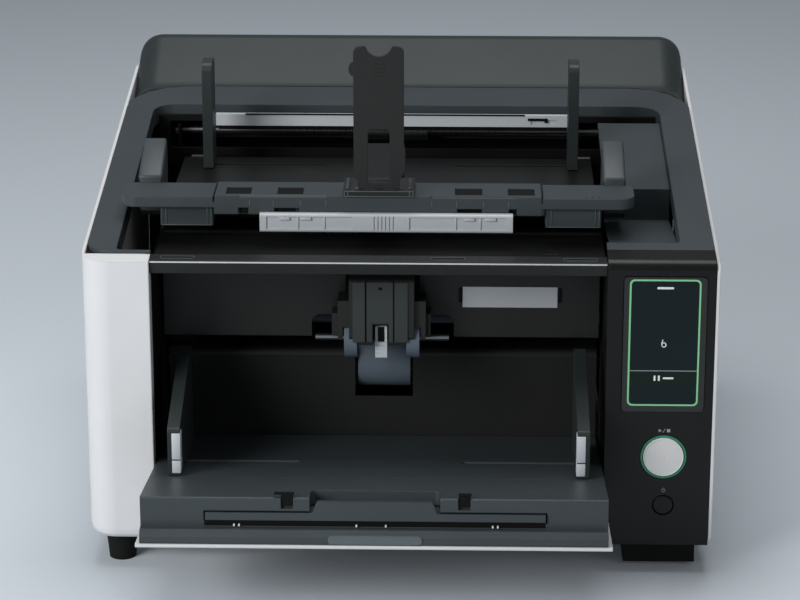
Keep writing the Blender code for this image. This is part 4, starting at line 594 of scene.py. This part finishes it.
# ---- pick unit: housing halves either side of a centre cover, with the sensor's slot in it
pick = {"proud": 0.0009, "panels": ((-0.0353, -0.0262), (-0.0045, 0.0053)), "top": 0.2110, "bottom": 0.1645,
        "centre": (-0.0249, -0.0055), "slotTop": 0.1790, "middle": -0.0148, "slotHalf": 0.0060,
        "seamTop": 0.2115, "hole": (0.0014, 0.2050, 0.2072)}
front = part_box("pick_arm")[0][1]
y0, y1 = front - pick["proud"], front + 0.0004
centreLeft, centreRight = pick["centre"]
slotLeft, slotRight = pick["middle"] - pick["slotHalf"], pick["middle"] + pick["slotHalf"]
rows = [((x0, y0, pick["bottom"]), (x1, y1, pick["top"])) for x0, x1 in pick["panels"]]
rows += [((centreLeft, y0, pick["slotTop"]), (centreRight, y1, pick["top"])),
         ((centreLeft, y0, pick["bottom"]), (slotLeft, y1, pick["slotTop"])),
         ((slotRight, y0, pick["bottom"]), (centreRight, y1, pick["slotTop"]))]
keep("pick_housing", blocks(rows), "moulded ABS, housing", "pick_arm")
# black blocks in the gaps between the housing's panels and in the small hole near its top: painted shade
seams = ((pick["panels"][0][1] + 0.0001, centreLeft + 0.0019),
         (centreRight - 0.0019, pick["panels"][1][0] - 0.0001))
rows = [((x0, y1 - 0.0006, pick["bottom"]), (x1, y1 - 0.0002, pick["seamTop"])) for x0, x1 in seams]
half, z0, z1 = pick["hole"]
rows.append(((pick["middle"] - half, y0 - 0.0001, z0), (pick["middle"] + half, y0 + 0.0003, z1)))
keep("pick_housing_gap_shade", blocks(rows), "moulded ABS, inner black and painted hollow shade", "pick_arm")

bay = {"rims": ((-0.0420, -0.0285), (-0.0005, 0.0130)), "rimHeight": (0.2205, 0.2213)}
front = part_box("chute_wall")[0][1]
z0, z1 = bay["rimHeight"]
# thin lighter slate rims on the chute wall beside the pick unit: painted highlight along their edges
rows = [((x0, front - 0.0010, z0), (x1, front + 0.0004, z1)) for x0, x1 in bay["rims"]]
keep("pick_bay_rim_highlights", blocks(rows, 0.0002), "moulded ABS, slate with painted edge highlight", "chassis")
low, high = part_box("sensor_lever")
# a black block down the sensor lever's slot: painted shade for its depth
rows = [((low[0] + 0.0020, low[1] - 0.0002, low[2] + 0.0130),
         (high[0] - 0.0020, low[1] + 0.0005, high[2] - 0.0006))]
keep("lever_slot_shade", blocks(rows), "moulded ABS, inner black and painted hollow shade", "sensor_lever")

# ---- embossed arrow outlines on the bay's ceiling
arrow = {"places": ((-0.1331, -0.1109), (0.1087, -0.1037)), "half": 0.0060, "height": 0.2319,
         "stroke": 0.00022}
bm = bmesh.new()
for x, y in arrow["places"]:
    half, z = arrow["half"], arrow["height"]
    chain(bm, [(x - half, y - half, z), (x + half, y - half, z), (x, y + half, z)], arrow["stroke"], 6)
keep("ceiling_marks", bm, "moulded ABS, charcoal", "chassis")

# ---- slots in the top of the lip, each with a thin rim: the slots are black sheets of painted shade, the rims lighter sheets of painted highlight
low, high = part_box("lip_bar")
endRim, sideRim = lip["rim"]
under, over = high[2] - 0.0002, high[2] + 0.0003
rims, pits = [], []
for x in lip["slots"]:
    x0, x1 = x - lip["half"], x + lip["half"]
    y0, y1 = low[1] + lip["depth"] - lip["wide"], low[1] + lip["depth"] + lip["wide"]
    rims += [((x0, y0, under), (x1, y0 + sideRim, over)), ((x0, y1 - sideRim, under), (x1, y1, over)),
             ((x0, y0, under), (x0 + endRim, y1, over)), ((x1 - endRim, y0, under), (x1, y1, over))]
    pits.append(((x0 + endRim, y0 + sideRim, high[2] - 0.0006),
                 (x1 - endRim, y1 - sideRim, high[2] + 0.0001)))
keep("lip_slot_rim_highlights", blocks(rims), "moulded ABS, slate with painted edge highlight", "chassis")
keep("lip_slot_shade", blocks(pits), "moulded ABS, inner black and painted hollow shade", "chassis")

# ---- label's dark end tabs
tab = {"long": 0.0030, "gap": 0.0004, "proud": 0.0010, "foot": 0.0040}
low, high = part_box("label_plate")
sides = ((low[0] - tab["long"], low[0] - tab["gap"]), (high[0] + tab["gap"], high[0] + tab["long"]))
rows = [((x0, low[1] - tab["proud"], low[2] + tab["foot"]), (x1, low[1] + 0.0004, high[2] - 0.0010))
        for x0, x1 in sides]
keep("label_tabs", blocks(rows, 0.0003), "moulded ABS, inner black and painted hollow shade", "chassis")
print("pick unit and bay done")

# ---- power inlet pins
pins = {"places": ((-0.0055, -0.002), (0.0055, -0.002), (0.0, 0.003)), "half": (0.0008, 0.0020),
        "depths": (0.0150, 0.0030)}
low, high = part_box("power_inlet")
halfX, halfZ = pins["half"]
deep, shallow = pins["depths"]
bm = bmesh.new()
for x, z in pins["places"]:
    x, z = x + (low[0] + high[0]) / 2, z + (low[2] + high[2]) / 2
    block(bm, (x - halfX, high[1] - deep, z - halfZ), (x + halfX, high[1] - shallow, z + halfZ), 0.0002)
keep("inlet_pins", bm, "ground steel", "chassis")

# ---- stage, light and camera
stage = {"floor": "#ccd3d9", "world": "#aab1b8", "worldLight": 0.40}
floor = bpy.data.materials.new("painted floor")
floor.use_nodes = True
floor.node_tree.nodes["Principled BSDF"].inputs["Base Color"].default_value = linear(stage["floor"])
floor.node_tree.nodes["Principled BSDF"].inputs["Roughness"].default_value = 0.85
mesh = bpy.data.meshes.new("floor")
bm = bmesh.new()
bmesh.ops.create_grid(bm, x_segments=1, y_segments=1, size=12.0)
bm.to_mesh(mesh)
bm.free()
mesh.materials.append(floor)
ground = bpy.data.objects.new("floor", mesh)
bpy.context.scene.collection.objects.link(ground)

world = bpy.data.worlds.new("studio")
world.use_nodes = True
world.node_tree.nodes["Background"].inputs["Color"].default_value = linear(stage["world"])
world.node_tree.nodes["Background"].inputs["Strength"].default_value = stage["worldLight"]
bpy.context.scene.world = world
bpy.context.scene.view_settings.view_transform = "Standard"

lights = {
    "key": {"at": (-1.5, -1.7, 1.1), "size": 1.1, "power": 42},
    "top": {"at": (0.0, 0.2, 2.0), "size": 1.2, "power": 20},
    "fill": {"at": (1.8, -1.2, 0.8), "size": 1.0, "power": 4},
}
target = Vector((0.0, -0.02, 0.15))
for name, values in lights.items():
    data = bpy.data.lights.new(name, "AREA")
    data.size = values["size"]
    data.energy = values["power"]
    light = bpy.data.objects.new(name, data)
    light.location = values["at"]
    light.rotation_euler = (target - light.location).to_track_quat("-Z", "Y").to_euler()
    bpy.context.scene.collection.objects.link(light)

view = {"lens": 129.4, "at": (0.045, -2.1154, 0.8633), "down": 18.4, "turn": 1.30}
data = bpy.data.cameras.new("camera")
data.lens = view["lens"]
data.sensor_width = 36.0
data.clip_end = 50.0
camera = bpy.data.objects.new("camera", data)
camera.location = view["at"]
camera.rotation_euler = (math.radians(90 - view["down"]), 0.0, math.radians(view["turn"]))
bpy.context.scene.collection.objects.link(camera)
bpy.context.scene.camera = camera

print("stage, light and camera done")
